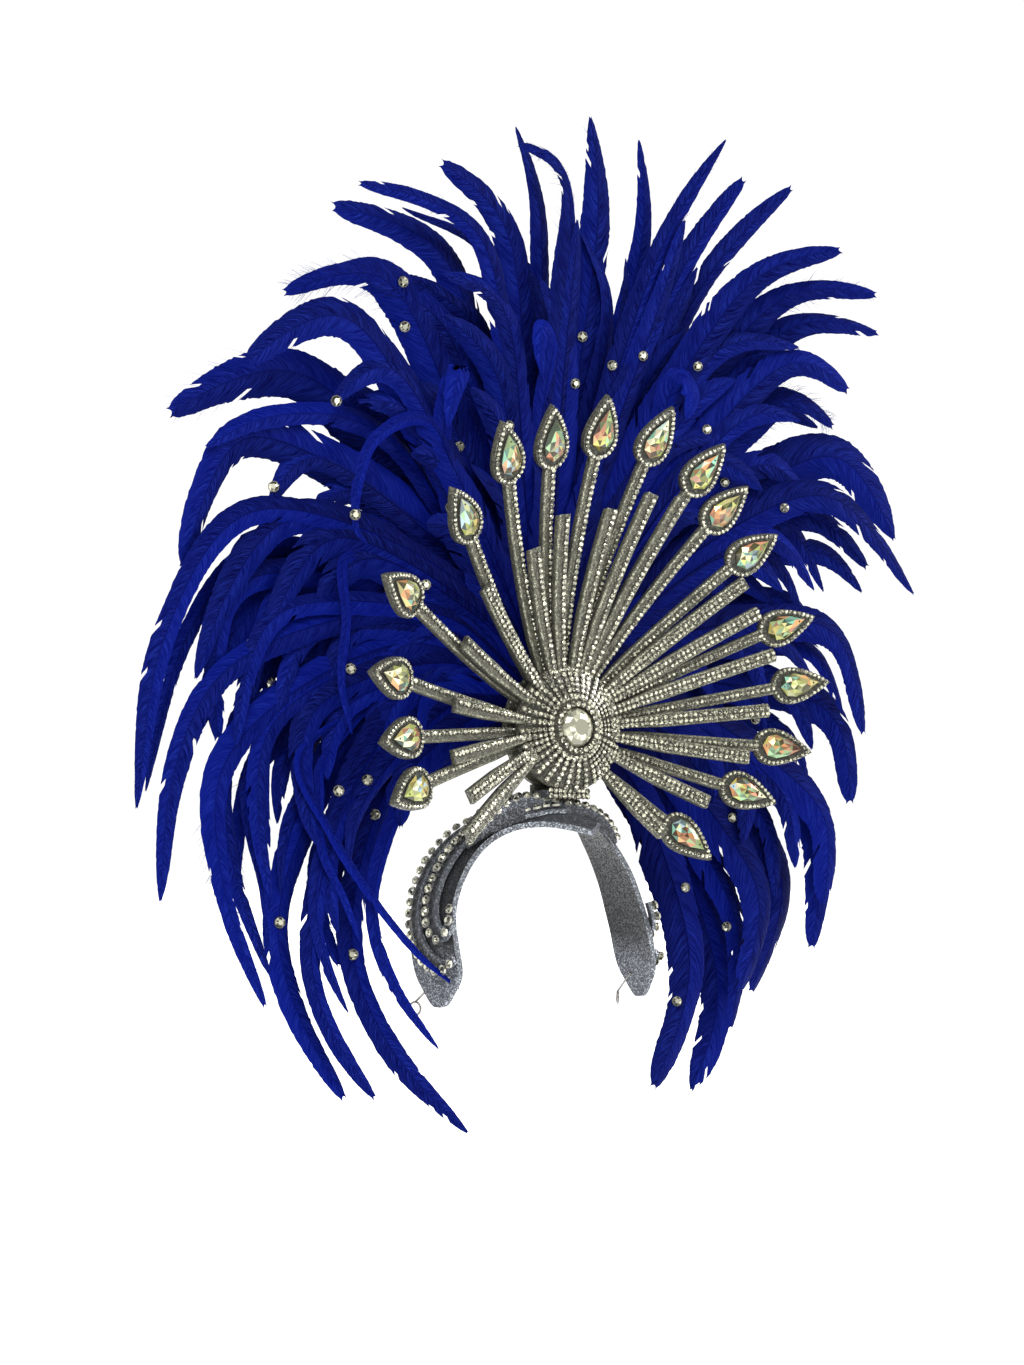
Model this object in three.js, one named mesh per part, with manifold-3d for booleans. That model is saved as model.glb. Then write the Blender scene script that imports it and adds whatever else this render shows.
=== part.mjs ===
import * as THREE from 'three';
import { mergeVertices } from 'three/addons/utils/BufferGeometryUtils.js';
import Module from 'manifold-3d';

// Showgirl feather headdress: a foam headband with scrolls, a sunburst of foam spokes on a hub,
// and a fan of long curved feathers behind it.
// Millimetres, +Z up. The wearer faces -Y and +X is the wearer's left.
// The origin is the inner top of the headband, where it sits on the crown.

// Clearances between pieces
const seatGap = 0.3;
const layerGap = 0.9;

// Head and headband
const headHalfWidth = 79;
const crownRise = 88;
const headHalfLength = 135;
const headCentreY = 35;
const sideArc = 168;
const bandWidth = 40;
const bandThick = 4;
const bandStep = 12;
const bandColumns = 3;

// Scrolls glued on the headband
const scrollThick = 3;
const scrollWidth = 10;
const scrollStep = 7;
const scrollGap = 0.45;
const frontStripLift = 0.2;
const innerRibbonLift = 0.4;

// Hub: plate, core, boss and foot
const hubHeight = 57;
const plateRadius = 40;
const plateThick = 4.8;
const plateBack = 1.1;
const coreRadius = 29.6;
const bossRadius = 42;
const bossRim = 2.4;
const bossRise = 9;
const hubSides = 24;
const ribCount = 24;
const ribHeight = 1.8;
const haloRadius = 18;
const haloHeight = 3;
const haloSlope = 0.4;
const domeShare = 0.62; // rise of the dome midway from halo to rim
const jewelRadius = 13;
const jewelHeight = 9;
const jewelSides = 16;
const footHalfWidth = 22;
const footTop = 20;
const footSteps = 12;
const ledgeBottom = 11;
const ledgeHeight = 5;

// Spokes: they start beside the core and lean and curl forward
const spokeStart = coreRadius + seatGap;
const spokeSetBack = 4;
const spokeLean = 0.12;
const spokeCurl = 51;
const spokeStep = 45;
const spokeThick = 5;
const spokeTaper = 0.128;
const longWidth = 8;
const shortWidth = 9.5;
const chainWidth = 4;
const chainShare = 0.6; // widest a chain may be on a narrowing strip
const chainHeight = 1.5;
const longReach = 216;
const shortReach = 0.77 * longReach;

// Leaves and crystals at the ends of the long spokes
const leafLength = 43;
const leafWidth = 26;
const leafThick = 4.5;
const leafSink = 0.2;
const leafOnStrip = 0.9;
const leafJoin = 0.1;
const rimHeight = 2;
const rimWidth = 4.2;
const leafBend = 2.5;
const crystalLength = 25;
const crystalWidth = 14.5;
const crystalHeight = 4.5;
const crystalPlace = 0.42;
const crystalBend = 0.4;
const crystalMiddle = 0.4;

// Feathers
const featherReach = 400;
const midTurn = 0.12; // share of the turn from root to knee made by mid way
const midReach = 0.45; // mid way, as a share of the knee's reach
const elbowReach = 1.02; // halfway from knee to tip, as a share of their mean reach
const featherWidth = 30;
const featherThick = 2.2;
const quillLength = 13;
const quillTaper = 0.7;
const ringInner = 27;
const ringOuter = 46;
const layerStep = 5;
const layerStagger = 0.7;
const featherBow = 45;
const featherDroop = 88;

// Long spokes: angle from straight up towards the wearer's left, reach as a share of longReach
const longSpokes = [
  { angle: -108, reach: 0.78 },
  { angle: -95.5, reach: 0.78 },
  { angle: -82, reach: 0.835 },
  { angle: -64.5, reach: 0.885 },
  { angle: -41, reach: 0.865 },
  { angle: -26.5, reach: 0.955 },
  { angle: -15, reach: 0.96 },
  { angle: -3, reach: 0.985 },
  { angle: 10, reach: 1 },
  { angle: 23.5, reach: 0.985 },
  { angle: 33, reach: 0.94 },
  { angle: 45, reach: 0.92 },
  { angle: 64, reach: 0.91 },
  { angle: 78, reach: 0.905 },
  { angle: 93, reach: 0.835 },
  { angle: 106.5, reach: 0.745 },
  { angle: 129, reach: 0.62 },
];

// Short spokes in front of them, reach as a share of shortReach
const shortSpokes = [
  { angle: -127, reach: 0.73 },
  { angle: -118, reach: 0.62 },
  { angle: -103, reach: 0.645 },
  { angle: -85, reach: 0.62 },
  { angle: -63.5, reach: 0.65 },
  { angle: -44.5, reach: 0.71 },
  { angle: -22.5, reach: 0.73 },
  { angle: -11.5, reach: 0.83 },
  { angle: 4, reach: 0.86 },
  { angle: 14, reach: 0.96 },
  { angle: 22, reach: 1 },
  { angle: 49.5, reach: 0.955 },
  { angle: 58, reach: 0.945 },
  { angle: 69.5, reach: 0.945 },
  { angle: 83.5, reach: 0.88 },
  { angle: 97, reach: 0.8 },
  { angle: 115, reach: 0.675 },
  { angle: 136, reach: 0.58 },
];

// Feathers, from the wearer's right round over the top to the wearer's left.
// Each leaves the hub at root, bends over at knee and ends at tip: angles from straight up,
// reaches as shares of featherReach, width as a share of featherWidth.
const feathers = [
  { root: -94, knee: -131, kneeReach: 0.43, tip: -157, tipReach: 0.555, width: 0.55 },
  { root: -86, knee: -132, kneeReach: 0.505, tip: -164, tipReach: 0.67, width: 1 },
  { root: -78, knee: -118, kneeReach: 0.495, tip: -133, tipReach: 0.555, width: 0.95 },
  { root: -71, knee: -129, kneeReach: 0.575, tip: -148.5, tipReach: 0.67, width: 1.1 },
  { root: -65, knee: -120, kneeReach: 0.59, tip: -144, tipReach: 0.705, width: 1.35 },
  { root: -59, knee: -95, kneeReach: 0.535, tip: -114, tipReach: 0.65, width: 1 },
  { root: -55, knee: -97, kneeReach: 0.6, tip: -128.5, tipReach: 0.685, width: 1.1 },
  { root: -51, knee: -94, kneeReach: 0.59, tip: -125.5, tipReach: 0.655, width: 1 },
  { root: -47, knee: -69, kneeReach: 0.565, tip: -79, tipReach: 0.63, width: 1.1 },
  { root: -42, knee: -85, kneeReach: 0.61, tip: -111, tipReach: 0.765, width: 0.95 },
  { root: -37, knee: -72, kneeReach: 0.625, tip: -93.5, tipReach: 0.625, width: 0.95 },
  { root: -33, knee: -66, kneeReach: 0.625, tip: -99, tipReach: 0.77, width: 0.95 },
  { root: -29, knee: -62, kneeReach: 0.64, tip: -101, tipReach: 0.765, width: 1.05 },
  { root: -25, knee: -53, kneeReach: 0.7, tip: -72, tipReach: 0.715, width: 1.2 },
  { root: -20, knee: -43, kneeReach: 0.73, tip: -60, tipReach: 0.857, width: 1.15 },
  { root: -16, knee: -34, kneeReach: 0.745, tip: -49, tipReach: 0.785, width: 1 },
  { root: -12, knee: -27, kneeReach: 0.78, tip: -41, tipReach: 0.84, width: 1 },
  { root: -8, knee: -18, kneeReach: 0.795, tip: -32, tipReach: 0.925, width: 0.95 },
  { root: -4.5, knee: -13, kneeReach: 0.8, tip: -28.5, tipReach: 0.915, width: 0.6 },
  { root: -1, knee: -9.5, kneeReach: 0.82, tip: -18.5, tipReach: 0.93, width: 0.95 },
  { root: 2, knee: -5.5, kneeReach: 0.865, tip: -10, tipReach: 0.995, width: 0.75 },
  { root: 5, knee: -2.5, kneeReach: 0.91, tip: -9, tipReach: 0.945, width: 0.9 },
  { root: 8, knee: 2.5, kneeReach: 0.86, tip: -1.5, tipReach: 1.015, width: 0.95 },
  { root: 11, knee: 9, kneeReach: 0.87, tip: 4.5, tipReach: 1.02, width: 0.65 },
  { root: 13.5, knee: 12, kneeReach: 0.87, tip: 14, tipReach: 1.055, width: 0.7 },
  { root: 16, knee: 15.5, kneeReach: 0.85, tip: 17.5, tipReach: 1.03, width: 0.85 },
  { root: 18.5, knee: 19, kneeReach: 0.88, tip: 22.5, tipReach: 1.08, width: 0.85 },
  { root: 21, knee: 24.5, kneeReach: 0.89, tip: 31, tipReach: 1.035, width: 0.9 },
  { root: 24, knee: 28.5, kneeReach: 0.91, tip: 37, tipReach: 1.045, width: 0.95 },
  { root: 27, knee: 31.5, kneeReach: 0.9, tip: 40, tipReach: 1.02, width: 0.85 },
  { root: 30, knee: 35, kneeReach: 0.845, tip: 43, tipReach: 0.895, width: 0.85 },
  { root: 33, knee: 37.5, kneeReach: 0.8, tip: 45, tipReach: 0.845, width: 1.3 },
  { root: 37, knee: 48, kneeReach: 0.83, tip: 62, tipReach: 0.865, width: 1.3 },
  { root: 41, knee: 52, kneeReach: 0.755, tip: 70, tipReach: 0.85, width: 0.9 },
  { root: 45, knee: 53, kneeReach: 0.715, tip: 64, tipReach: 0.785, width: 1 },
  { root: 49, knee: 58, kneeReach: 0.71, tip: 67, tipReach: 0.77, width: 0.8 },
  { root: 54, knee: 71, kneeReach: 0.67, tip: 88, tipReach: 0.705, width: 0.9 },
  { root: 59, knee: 72, kneeReach: 0.62, tip: 84, tipReach: 0.67, width: 0.8 },
  { root: 64, knee: 84, kneeReach: 0.655, tip: 98.5, tipReach: 0.695, width: 0.95 },
  { root: 70, knee: 101, kneeReach: 0.625, tip: 116, tipReach: 0.67, width: 1.15 },
  { root: 76, knee: 102, kneeReach: 0.61, tip: 123, tipReach: 0.685, width: 0.95 },
  { root: 82, knee: 113, kneeReach: 0.58, tip: 135.5, tipReach: 0.635, width: 1.5 },
  { root: 88, knee: 119, kneeReach: 0.54, tip: 137, tipReach: 0.605, width: 1.35 },
  { root: 94, knee: 126, kneeReach: 0.52, tip: 143, tipReach: 0.64, width: 0.95 },
  { root: 100, knee: 138, kneeReach: 0.565, tip: 155, tipReach: 0.68, width: 1.15 },
  { root: 106, knee: 139, kneeReach: 0.48, tip: 161, tipReach: 0.63, width: 1.4 },
  { root: 112, knee: 131, kneeReach: 0.425, tip: 151, tipReach: 0.555, width: 1.05 },
];

// The three layers that the feathers are shared out to, in turn, how far each bows back and
// how far it is set aside, towards the wearer's left
const featherLayers = [
  { name: 'feathers_front', depth: 0, bow: 19, aside: -6 },
  { name: 'feathers_middle', depth: 1, bow: 26, aside: 3 },
  { name: 'feathers_back', depth: 2, bow: 33, aside: 11 },
];

// Headband sections from the apex to an ear tab: along as a share of sideArc, the rear and front
// edges as shares of bandWidth
const bandSections = [
  { along: 0, rear: 0.4, front: -1.12 },
  { along: 0.06, rear: 0.41, front: -0.92 },
  { along: 0.14, rear: 0.46, front: -0.52 },
  { along: 0.24, rear: 0.65, front: -0.15 },
  { along: 0.36, rear: 0.92, front: 0.02 },
  { along: 0.48, rear: 1.05, front: 0.04 },
  { along: 0.62, rear: 1.1, front: 0 },
  { along: 0.76, rear: 1, front: -0.17 },
  { along: 0.86, rear: 0.86, front: -0.25 },
  { along: 0.94, rear: 0.66, front: -0.16 },
  { along: 0.985, rear: 0.45, front: 0.02 },
  { along: 1, rear: 0.3, front: 0.17 },
];

// Scroll ribbons: along as a share of sideArc, across as a share of bandWidth and width as a
// share of scrollWidth
const outerRibbon = [
  { along: 0.235, across: 0.3, width: 0.9 },
  { along: 0.3, across: 0.68, width: 1 },
  { along: 0.4, across: 0.87, width: 1.05 },
  { along: 0.51, across: 0.93, width: 1.05 },
  { along: 0.61, across: 0.9, width: 1.05 },
  { along: 0.7, across: 0.78, width: 1.05 },
  { along: 0.77, across: 0.56, width: 1.05 },
  { along: 0.82, across: 0.28, width: 1.05 },
  { along: 0.835, across: 0, width: 0.95 },
  { along: 0.81, across: -0.22, width: 0.6 },
];
const innerRibbon = [
  { along: 0.175, across: -0.12, width: 0.85 },
  { along: 0.24, across: 0.2, width: 1 },
  { along: 0.32, across: 0.36, width: 1 },
  { along: 0.42, across: 0.42, width: 1.05 },
  { along: 0.53, across: 0.45, width: 1.1 },
  { along: 0.63, across: 0.4, width: 1.1 },
  { along: 0.7, across: 0.24, width: 1.1 },
  { along: 0.725, across: 0.04, width: 0.95 },
  { along: 0.68, across: -0.1, width: 0.75 },
  { along: 0.615, across: -0.06, width: 0.55 },
];
const frontStrips = {
  scroll_right: [
    { along: 0.19, across: -0.06, width: 0.85 },
    { along: 0.13, across: -0.26, width: 0.7 },
    { along: 0.06, across: -0.31, width: 0.65 },
    { along: 0, across: -0.38, width: 0.5 },
  ],
  scroll_left: [
    { along: 0.19, across: -0.06, width: 0.85 },
    { along: 0.14, across: -0.25, width: 0.7 },
    { along: 0.09, across: -0.25, width: 0.6 },
  ],
};

const wasm = await Module();
wasm.setup();

// Closed solid from points and triangles, turned so that its faces point out
function solidFrom(points, index) {
  const geometry = new THREE.BufferGeometry();
  geometry.setAttribute('position', new THREE.Float32BufferAttribute(points.flatMap((p) => p.toArray()), 3));
  let volume = 0;
  for (let i = 0; i < index.length; i += 3) {
    const [a, b, c] = [points[index[i]], points[index[i + 1]], points[index[i + 2]]];
    volume += a.dot(b.clone().cross(c));
  }
  geometry.setIndex(volume > 0 ? index : index.slice().reverse());
  return geometry;
}

// Sheet between two grids of points that have the same rows and columns
function sheetSolid(face, back) {
  const rows = face.length;
  const columns = face[0].length;
  const size = rows * columns;
  const index = [];
  const quad = (a, b, c, d) => index.push(a, b, c, a, c, d);
  for (let r = 0; r < rows - 1; r++) {
    for (let c = 0; c < columns - 1; c++) {
      const a = r * columns + c;
      const b = a + columns;
      quad(a, b, b + 1, a + 1);
      quad(size + a, size + a + 1, size + b + 1, size + b);
    }
    const left = r * columns;
    const right = left + columns - 1;
    quad(left, size + left, size + left + columns, left + columns);
    quad(right, right + columns, size + right + columns, size + right);
  }
  for (let c = 0; c < columns - 1; c++) {
    const last = size - columns + c;
    quad(c, c + 1, size + c + 1, size + c);
    quad(last, size + last, size + last + 1, last + 1);
  }
  return solidFrom([...face.flat(), ...back.flat()], index);
}

// Solid swept through rings of points, with a flat cap at each end
function loftSolid(rings, section) {
  const sides = rings[0].length;
  const index = [];
  for (let r = 0; r < rings.length - 1; r++) {
    for (let s = 0; s < sides; s++) {
      const a = r * sides + s;
      const b = r * sides + ((s + 1) % sides);
      index.push(a, b, b + sides, a, b + sides, a + sides);
    }
  }
  const end = (rings.length - 1) * sides;
  const clockwise = THREE.ShapeUtils.isClockWise(section);
  for (const triangle of THREE.ShapeUtils.triangulateShape(section, [])) {
    const [a, b, c] = clockwise ? triangle.slice().reverse() : triangle;
    index.push(c, b, a, end + a, end + b, end + c);
  }
  return solidFrom(rings.flat(), index);
}

function toManifold(geometry) {
  const bare = geometry.clone();
  bare.deleteAttribute('normal');
  bare.deleteAttribute('uv');
  const merged = mergeVertices(bare, 1e-4);
  return new wasm.Manifold(new wasm.Mesh({
    numProp: 3,
    vertProperties: new Float32Array(merged.attributes.position.array),
    triVerts: new Uint32Array(merged.index.array),
  }));
}

function toGeometry(manifold) {
  const mesh = manifold.getMesh();
  const geometry = new THREE.BufferGeometry();
  geometry.setAttribute('position', new THREE.BufferAttribute(new Float32Array(mesh.vertProperties), 3));
  geometry.setIndex(Array.from(mesh.triVerts));
  return geometry;
}

function joined(geometries) {
  return toGeometry(geometries.map(toManifold).reduce((whole, piece) => whole.add(piece)));
}

function box(minX, maxX, minY, maxY, minZ, maxZ) {
  const geometry = new THREE.BoxGeometry(maxX - minX, maxY - minY, maxZ - minZ);
  return geometry.translate((minX + maxX) / 2, (minY + maxY) / 2, (minZ + maxZ) / 2);
}

// Point on the head's crown: distance from the apex along the arch, positive towards the
// wearer's left, y from front to back, lift out from the head
const crownCurve = new THREE.EllipseCurve(0, -crownRise, headHalfWidth, crownRise, Math.PI / 2, 0, true);
const crownLength = crownCurve.getLength();

function headPoint(distance, y, lift) {
  const side = distance < 0 ? -1 : 1;
  const along = Math.abs(distance);
  const flat = crownCurve.getPointAt(Math.min(1, along / crownLength));
  const height = flat.y + crownRise;
  const below = Math.max(0, along - crownLength);
  const normal = new THREE.Vector2(flat.x / headHalfWidth ** 2, height / crownRise ** 2).normalize();
  const swell = (at) => Math.sqrt(1 - ((at - headCentreY) / headHalfLength) ** 2);
  const share = swell(y) / swell(0);
  return new THREE.Vector3(
    side * (flat.x * share + normal.x * lift),
    y,
    height * share - crownRise - below + normal.y * lift,
  );
}

// Value of a table's column at a place along it, smooth between its rows
function tableCurve(table, columns) {
  const points = table.map((row) => new THREE.Vector3(...columns.map((name) => row[name])));
  return new THREE.CatmullRomCurve3(points, false, 'centripetal');
}

function makeHeadband() {
  const curve = tableCurve(bandSections, ['along', 'rear', 'front']);
  const half = Math.ceil(sideArc / bandStep);
  const face = [];
  const back = [];
  for (let i = -half; i <= half; i++) {
    const { x: along, y: rear, z: front } = curve.getPoint(Math.abs(i) / half);
    const faceRow = [];
    const backRow = [];
    for (let j = 0; j <= bandColumns; j++) {
      const y = bandWidth * THREE.MathUtils.lerp(front, rear, j / bandColumns);
      faceRow.push(headPoint(Math.sign(i) * along * sideArc, y, bandThick));
      backRow.push(headPoint(Math.sign(i) * along * sideArc, y, 0));
    }
    face.push(faceRow);
    back.push(backRow);
  }
  return sheetSolid(face, back);
}

// Ribbon of foam lying on the headband along a table of places, on the side given by sign
function makeRibbon(table, sign, lift) {
  const curve = tableCurve(
    table.map(({ along, across, width }) => ({
      along: along * sideArc,
      across: across * bandWidth,
      width: width * scrollWidth,
    })),
    ['along', 'across', 'width'],
  );
  const steps = Math.round(curve.getLength() / scrollStep);
  const face = [];
  const back = [];
  for (let i = 0; i <= steps; i++) {
    const here = curve.getPointAt(i / steps);
    const ahead = curve.getTangentAt(i / steps);
    const sideways = new THREE.Vector2(-ahead.y, ahead.x).normalize().multiplyScalar(here.z / 2);
    const edges = [-1, 1].map((edge) => [here.x + edge * sideways.x, here.y + edge * sideways.y]);
    face.push(edges.map(([along, across]) => headPoint(sign * along, across, lift + scrollThick)));
    back.push(edges.map(([along, across]) => headPoint(sign * along, across, lift)));
  }
  return sheetSolid(face, back);
}

function makeScroll(name, sign) {
  const lift = bandThick + scrollGap;
  return joined([
    makeRibbon(outerRibbon, sign, lift),
    makeRibbon(innerRibbon, sign, lift + innerRibbonLift),
    makeRibbon(frontStrips[name], sign, lift + frontStripLift),
  ]);
}

// Front to back place of the back of the spokes at a distance from the hub
function spokeBack(reach) {
  return -spokeSetBack - spokeLean * reach - spokeCurl * (reach / longReach) ** 2;
}

// Point from the hub: angle from straight up towards +X, reach and y, with a sideways shift
function polar(angle, reach, y, shift = 0) {
  const turn = THREE.MathUtils.degToRad(angle);
  return new THREE.Vector3(
    reach * Math.sin(turn) + shift * Math.cos(turn),
    y,
    hubHeight + reach * Math.cos(turn) - shift * Math.sin(turn),
  );
}

// Strip of foam with a raised chain down its middle, from the core out to reach
function makeStrip(angle, reach, fullWidth, setForward) {
  const stations = [];
  for (let r = spokeStart; r < reach - spokeStep / 4; r += spokeStep) {
    stations.push(r);
  }
  stations.push(reach);
  const section = (width) => {
    const half = width / 2;
    const chain = Math.min(chainWidth, width * chainShare) / 2;
    return [
      new THREE.Vector2(-half, 0),
      new THREE.Vector2(half, 0),
      new THREE.Vector2(half, spokeThick),
      new THREE.Vector2(chain, spokeThick),
      new THREE.Vector2(chain, spokeThick + chainHeight),
      new THREE.Vector2(-chain, spokeThick + chainHeight),
      new THREE.Vector2(-chain, spokeThick),
      new THREE.Vector2(-half, spokeThick),
    ];
  };
  const rings = stations.map((r) => section(Math.min(fullWidth, spokeTaper * r))
    .map(({ x, y }) => polar(angle, r, spokeBack(r) - setForward - y, x)));
  return loftSolid(rings, section(fullWidth));
}

// Flame outline: width at each share of the length from base to tip, tip bent to one side
const flameShares = [0, 0.08, 0.2, 0.36, 0.56, 0.8, 1];
const flameLow = 0.62; // under 1: the widest place lies nearer the base
const flameRound = 0.85; // under 1: fuller than a sine
const flameHook = 2.5; // over 1: only the tip is bent
const flameMiddle = 0.42;
const tipInset = 2.4; // a pointed end loses more length than width

function flame(length, width, bend, inset = 0) {
  const half = (t) => (width / 2) * Math.sin(Math.PI * t ** flameLow) ** flameRound;
  const bent = (t) => bend * t ** flameHook;
  const right = flameShares
    .map((t) => new THREE.Vector2(bent(t) + Math.max(0, half(t)), t * length));
  const left = flameShares.slice(1, -1).reverse()
    .map((t) => new THREE.Vector2(bent(t) - half(t), t * length));
  const outline = [...right, ...left];
  if (inset === 0) {
    return outline;
  }
  const centre = new THREE.Vector2(0, length * flameMiddle);
  const shrink = new THREE.Vector2(1 - (2 * inset) / width, 1 - (tipInset * inset) / length);
  return outline.map((p) => p.clone().sub(centre).multiply(shrink).add(centre));
}

function extrude(outline, depth) {
  return new THREE.ExtrudeGeometry(new THREE.Shape(outline), { depth, bevelEnabled: false });
}

// Place a leaf's own frame (x across, y along, z out of its face) at the end of a long spoke
function leafFrame(angle, reach) {
  const base = reach - leafLength * leafOnStrip;
  const rise = spokeBack(reach) - spokeBack(base);
  const along = new THREE.Vector3(0, rise, reach - base).normalize();
  const across = new THREE.Vector3(1, 0, 0);
  const out = across.clone().cross(along);
  const turned = new THREE.Matrix4().makeRotationY(THREE.MathUtils.degToRad(angle));
  const local = new THREE.Matrix4().makeBasis(across, along, out)
    .setPosition(0, spokeBack(base) - leafSink, base);
  return new THREE.Matrix4().makeTranslation(0, 0, hubHeight).multiply(turned).multiply(local);
}

function bendSide(angle) {
  return angle < 10 ? -leafBend : leafBend;
}

function makeLongSpoke({ angle, reach }) {
  const tip = reach * longReach;
  const bend = bendSide(angle);
  const body = toManifold(extrude(flame(leafLength, leafWidth, bend), leafThick + rimHeight));
  const pocket = toManifold(
    extrude(flame(leafLength, leafWidth, bend, rimWidth), rimHeight + 1).translate(0, 0, leafThick),
  );
  const leaf = toGeometry(body.subtract(pocket)).applyMatrix4(leafFrame(angle, tip));
  const strip = makeStrip(angle, tip - leafLength * (leafOnStrip - leafJoin), longWidth, 0);
  return joined([leaf, strip]);
}

// Rings of a drop crystal from its flat back to its table, as shares of its outline and height
const crystalRings = [
  { outline: 0.92, height: 0 },
  { outline: 1, height: 0.3 },
  { outline: 0.5, height: 1 },
];

// Drop-shaped crystal with a flat back, a girdle, a ring of facets and a table
function makeCrystal({ angle, reach }) {
  const base = (leafLength - crystalLength) * crystalPlace;
  const level = leafThick + seatGap;
  const bend = bendSide(angle) * crystalBend;
  const outline = flame(crystalLength, crystalWidth, bend).filter((p, i) => i % 2 === 0);
  const centre = new THREE.Vector2(0, crystalLength * crystalMiddle);
  const rings = crystalRings.map((row) => outline.map((p) => {
    const at = p.clone().sub(centre).multiplyScalar(row.outline).add(centre);
    return new THREE.Vector3(at.x, at.y + base, level + row.height * crystalHeight);
  }));
  return loftSolid(rings, outline).applyMatrix4(leafFrame(angle, reach * longReach));
}

function makeShortSpoke({ angle, reach }) {
  return makeStrip(angle, reach * shortReach, shortWidth, spokeThick + chainHeight + layerGap);
}

// Round disc about the hub's axis, from y at the front to y at the back
function hubDisc(radius, front, back, sides) {
  return new THREE.CylinderGeometry(radius, radius, back - front, sides)
    .translate(0, (front + back) / 2, hubHeight);
}

const bossBack = spokeBack(bossRadius) - 2 * (spokeThick + chainHeight + layerGap);
const bossTop = bossBack - bossRim - bossRise;

// Domed boss with radial ribs and a halo round the jewel's seat
function makeBoss() {
  const profile = [
    { radius: 0, height: bossRim + bossRise, rib: 0 },
    { radius: jewelRadius + seatGap, height: bossRim + bossRise, rib: 0 },
    { radius: jewelRadius + seatGap + haloSlope, height: bossRim + bossRise + haloHeight, rib: 0 },
    { radius: haloRadius, height: bossRim + bossRise + haloHeight, rib: 0 },
    { radius: haloRadius + 1, height: bossRim + bossRise, rib: 1 },
    { radius: (haloRadius + bossRadius) / 2, height: bossRim + bossRise * domeShare, rib: 1 },
    { radius: bossRadius, height: bossRim, rib: 1 },
  ];
  const around = 2 * ribCount;
  const points = [polar(0, 0, bossBack - profile[0].height)];
  const index = [];
  for (const { radius, height, rib } of profile.slice(1)) {
    for (let k = 0; k < around; k++) {
      const ridge = k % 2 === 0 ? ribHeight * rib : 0;
      points.push(polar((360 * k) / around, radius, bossBack - height - ridge));
    }
  }
  for (let k = 0; k < around; k++) {
    points.push(polar((360 * k) / around, bossRadius, bossBack));
  }
  const centre = points.push(polar(0, 0, bossBack)) - 1;
  for (let k = 0; k < around; k++) {
    const next = (k + 1) % around;
    index.push(0, 1 + k, 1 + next);
    for (let ring = 0; ring < profile.length - 1; ring++) {
      const a = 1 + ring * around;
      const b = a + around;
      index.push(a + k, b + k, b + next, a + k, b + next, a + next);
    }
    const last = centre - around;
    index.push(last + k, centre, last + next);
  }
  return solidFrom(points, index);
}

// Hub: back plate, core, boss, and the foot that stands on the headband
function makeHub() {
  const plateFront = plateBack - plateThick;
  const seat = bandThick + seatGap;
  const ends = [plateFront - plateThick, plateBack + plateThick];
  const clear = [];
  const inside = [];
  for (let i = 0; i <= footSteps; i++) {
    const distance = 1.2 * footHalfWidth * (2 * i / footSteps - 1);
    clear.push(ends.map((y) => headPoint(distance, 0, seat).setY(y)));
    inside.push(ends.map((y) => headPoint(distance, 0, seat - footTop).setY(y)));
  }
  const foot = toManifold(box(-footHalfWidth, footHalfWidth, plateFront, plateBack, 0, footTop))
    .subtract(toManifold(sheetSolid(clear, inside)));
  const ledge = box(
    -footHalfWidth,
    footHalfWidth,
    bossBack - bossRim,
    plateBack - plateThick / 2,
    ledgeBottom,
    ledgeBottom + ledgeHeight,
  );
  const below = box(
    -2 * bossRadius,
    2 * bossRadius,
    bossTop - 2 * haloHeight,
    bossBack + 1,
    hubHeight - 2 * bossRadius,
    ledgeBottom + ledgeHeight / 2,
  );
  return toGeometry(
    toManifold(makeBoss()).subtract(toManifold(below))
      .add(toManifold(hubDisc(plateRadius, plateFront, plateBack, hubSides)))
      .add(toManifold(hubDisc(coreRadius, bossBack - 1, plateFront + 1, hubSides)))
      .add(foot)
      .add(toManifold(ledge)),
  );
}

// Rings of the round jewel: shares of its radius and height, turn as a share of a facet
const jewelProfile = [
  { radius: 0.94, height: 0, turn: 0 },
  { radius: 1, height: 0.25, turn: 0 },
  { radius: 0.8, height: 0.7, turn: 0.5 },
  { radius: 0.5, height: 1, turn: 1 },
];

// Round jewel with a girdle, two rings of facets and a table
function makeCentreCrystal() {
  const back = bossTop - seatGap;
  const rings = jewelProfile.map(({ radius, height, turn }) => {
    const points = [];
    for (let k = 0; k < jewelSides; k++) {
      const angle = (360 * (k + turn)) / jewelSides;
      points.push(polar(angle, radius * jewelRadius, back - height * jewelHeight));
    }
    return points;
  });
  return loftSolid(rings, rings[0].map(({ x, z }) => new THREE.Vector2(x, z)));
}

// Share of its bow that a feather layer has at a reach
function bowShare(reach) {
  return 1 - Math.exp(-Math.max(0, reach - ringOuter) / featherBow);
}

// Front to back place of a feather layer's front face
function layerFace({ depth, bow }, reach) {
  return plateBack + seatGap + depth * layerStep
    + bow * bowShare(reach)
    - featherDroop * Math.max(0, reach ** 2 - ringOuter ** 2) / featherReach ** 2;
}

// Line of a feather in the plane of the fan, x and z measured from the hub
function featherLine({ root, knee, kneeReach, tip, tipReach }) {
  const at = (angle, reach) => {
    const turn = THREE.MathUtils.degToRad(angle);
    return new THREE.Vector3(reach * Math.sin(turn), 0, reach * Math.cos(turn));
  };
  return new THREE.CatmullRomCurve3([
    at(root, ringOuter),
    at(root + midTurn * (knee - root), midReach * kneeReach * featherReach),
    at(knee, kneeReach * featherReach),
    at((knee + tip) / 2, elbowReach * (kneeReach + tipReach) / 2 * featherReach),
    at(tip, tipReach * featherReach),
  ], false, 'centripetal');
}

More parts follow.
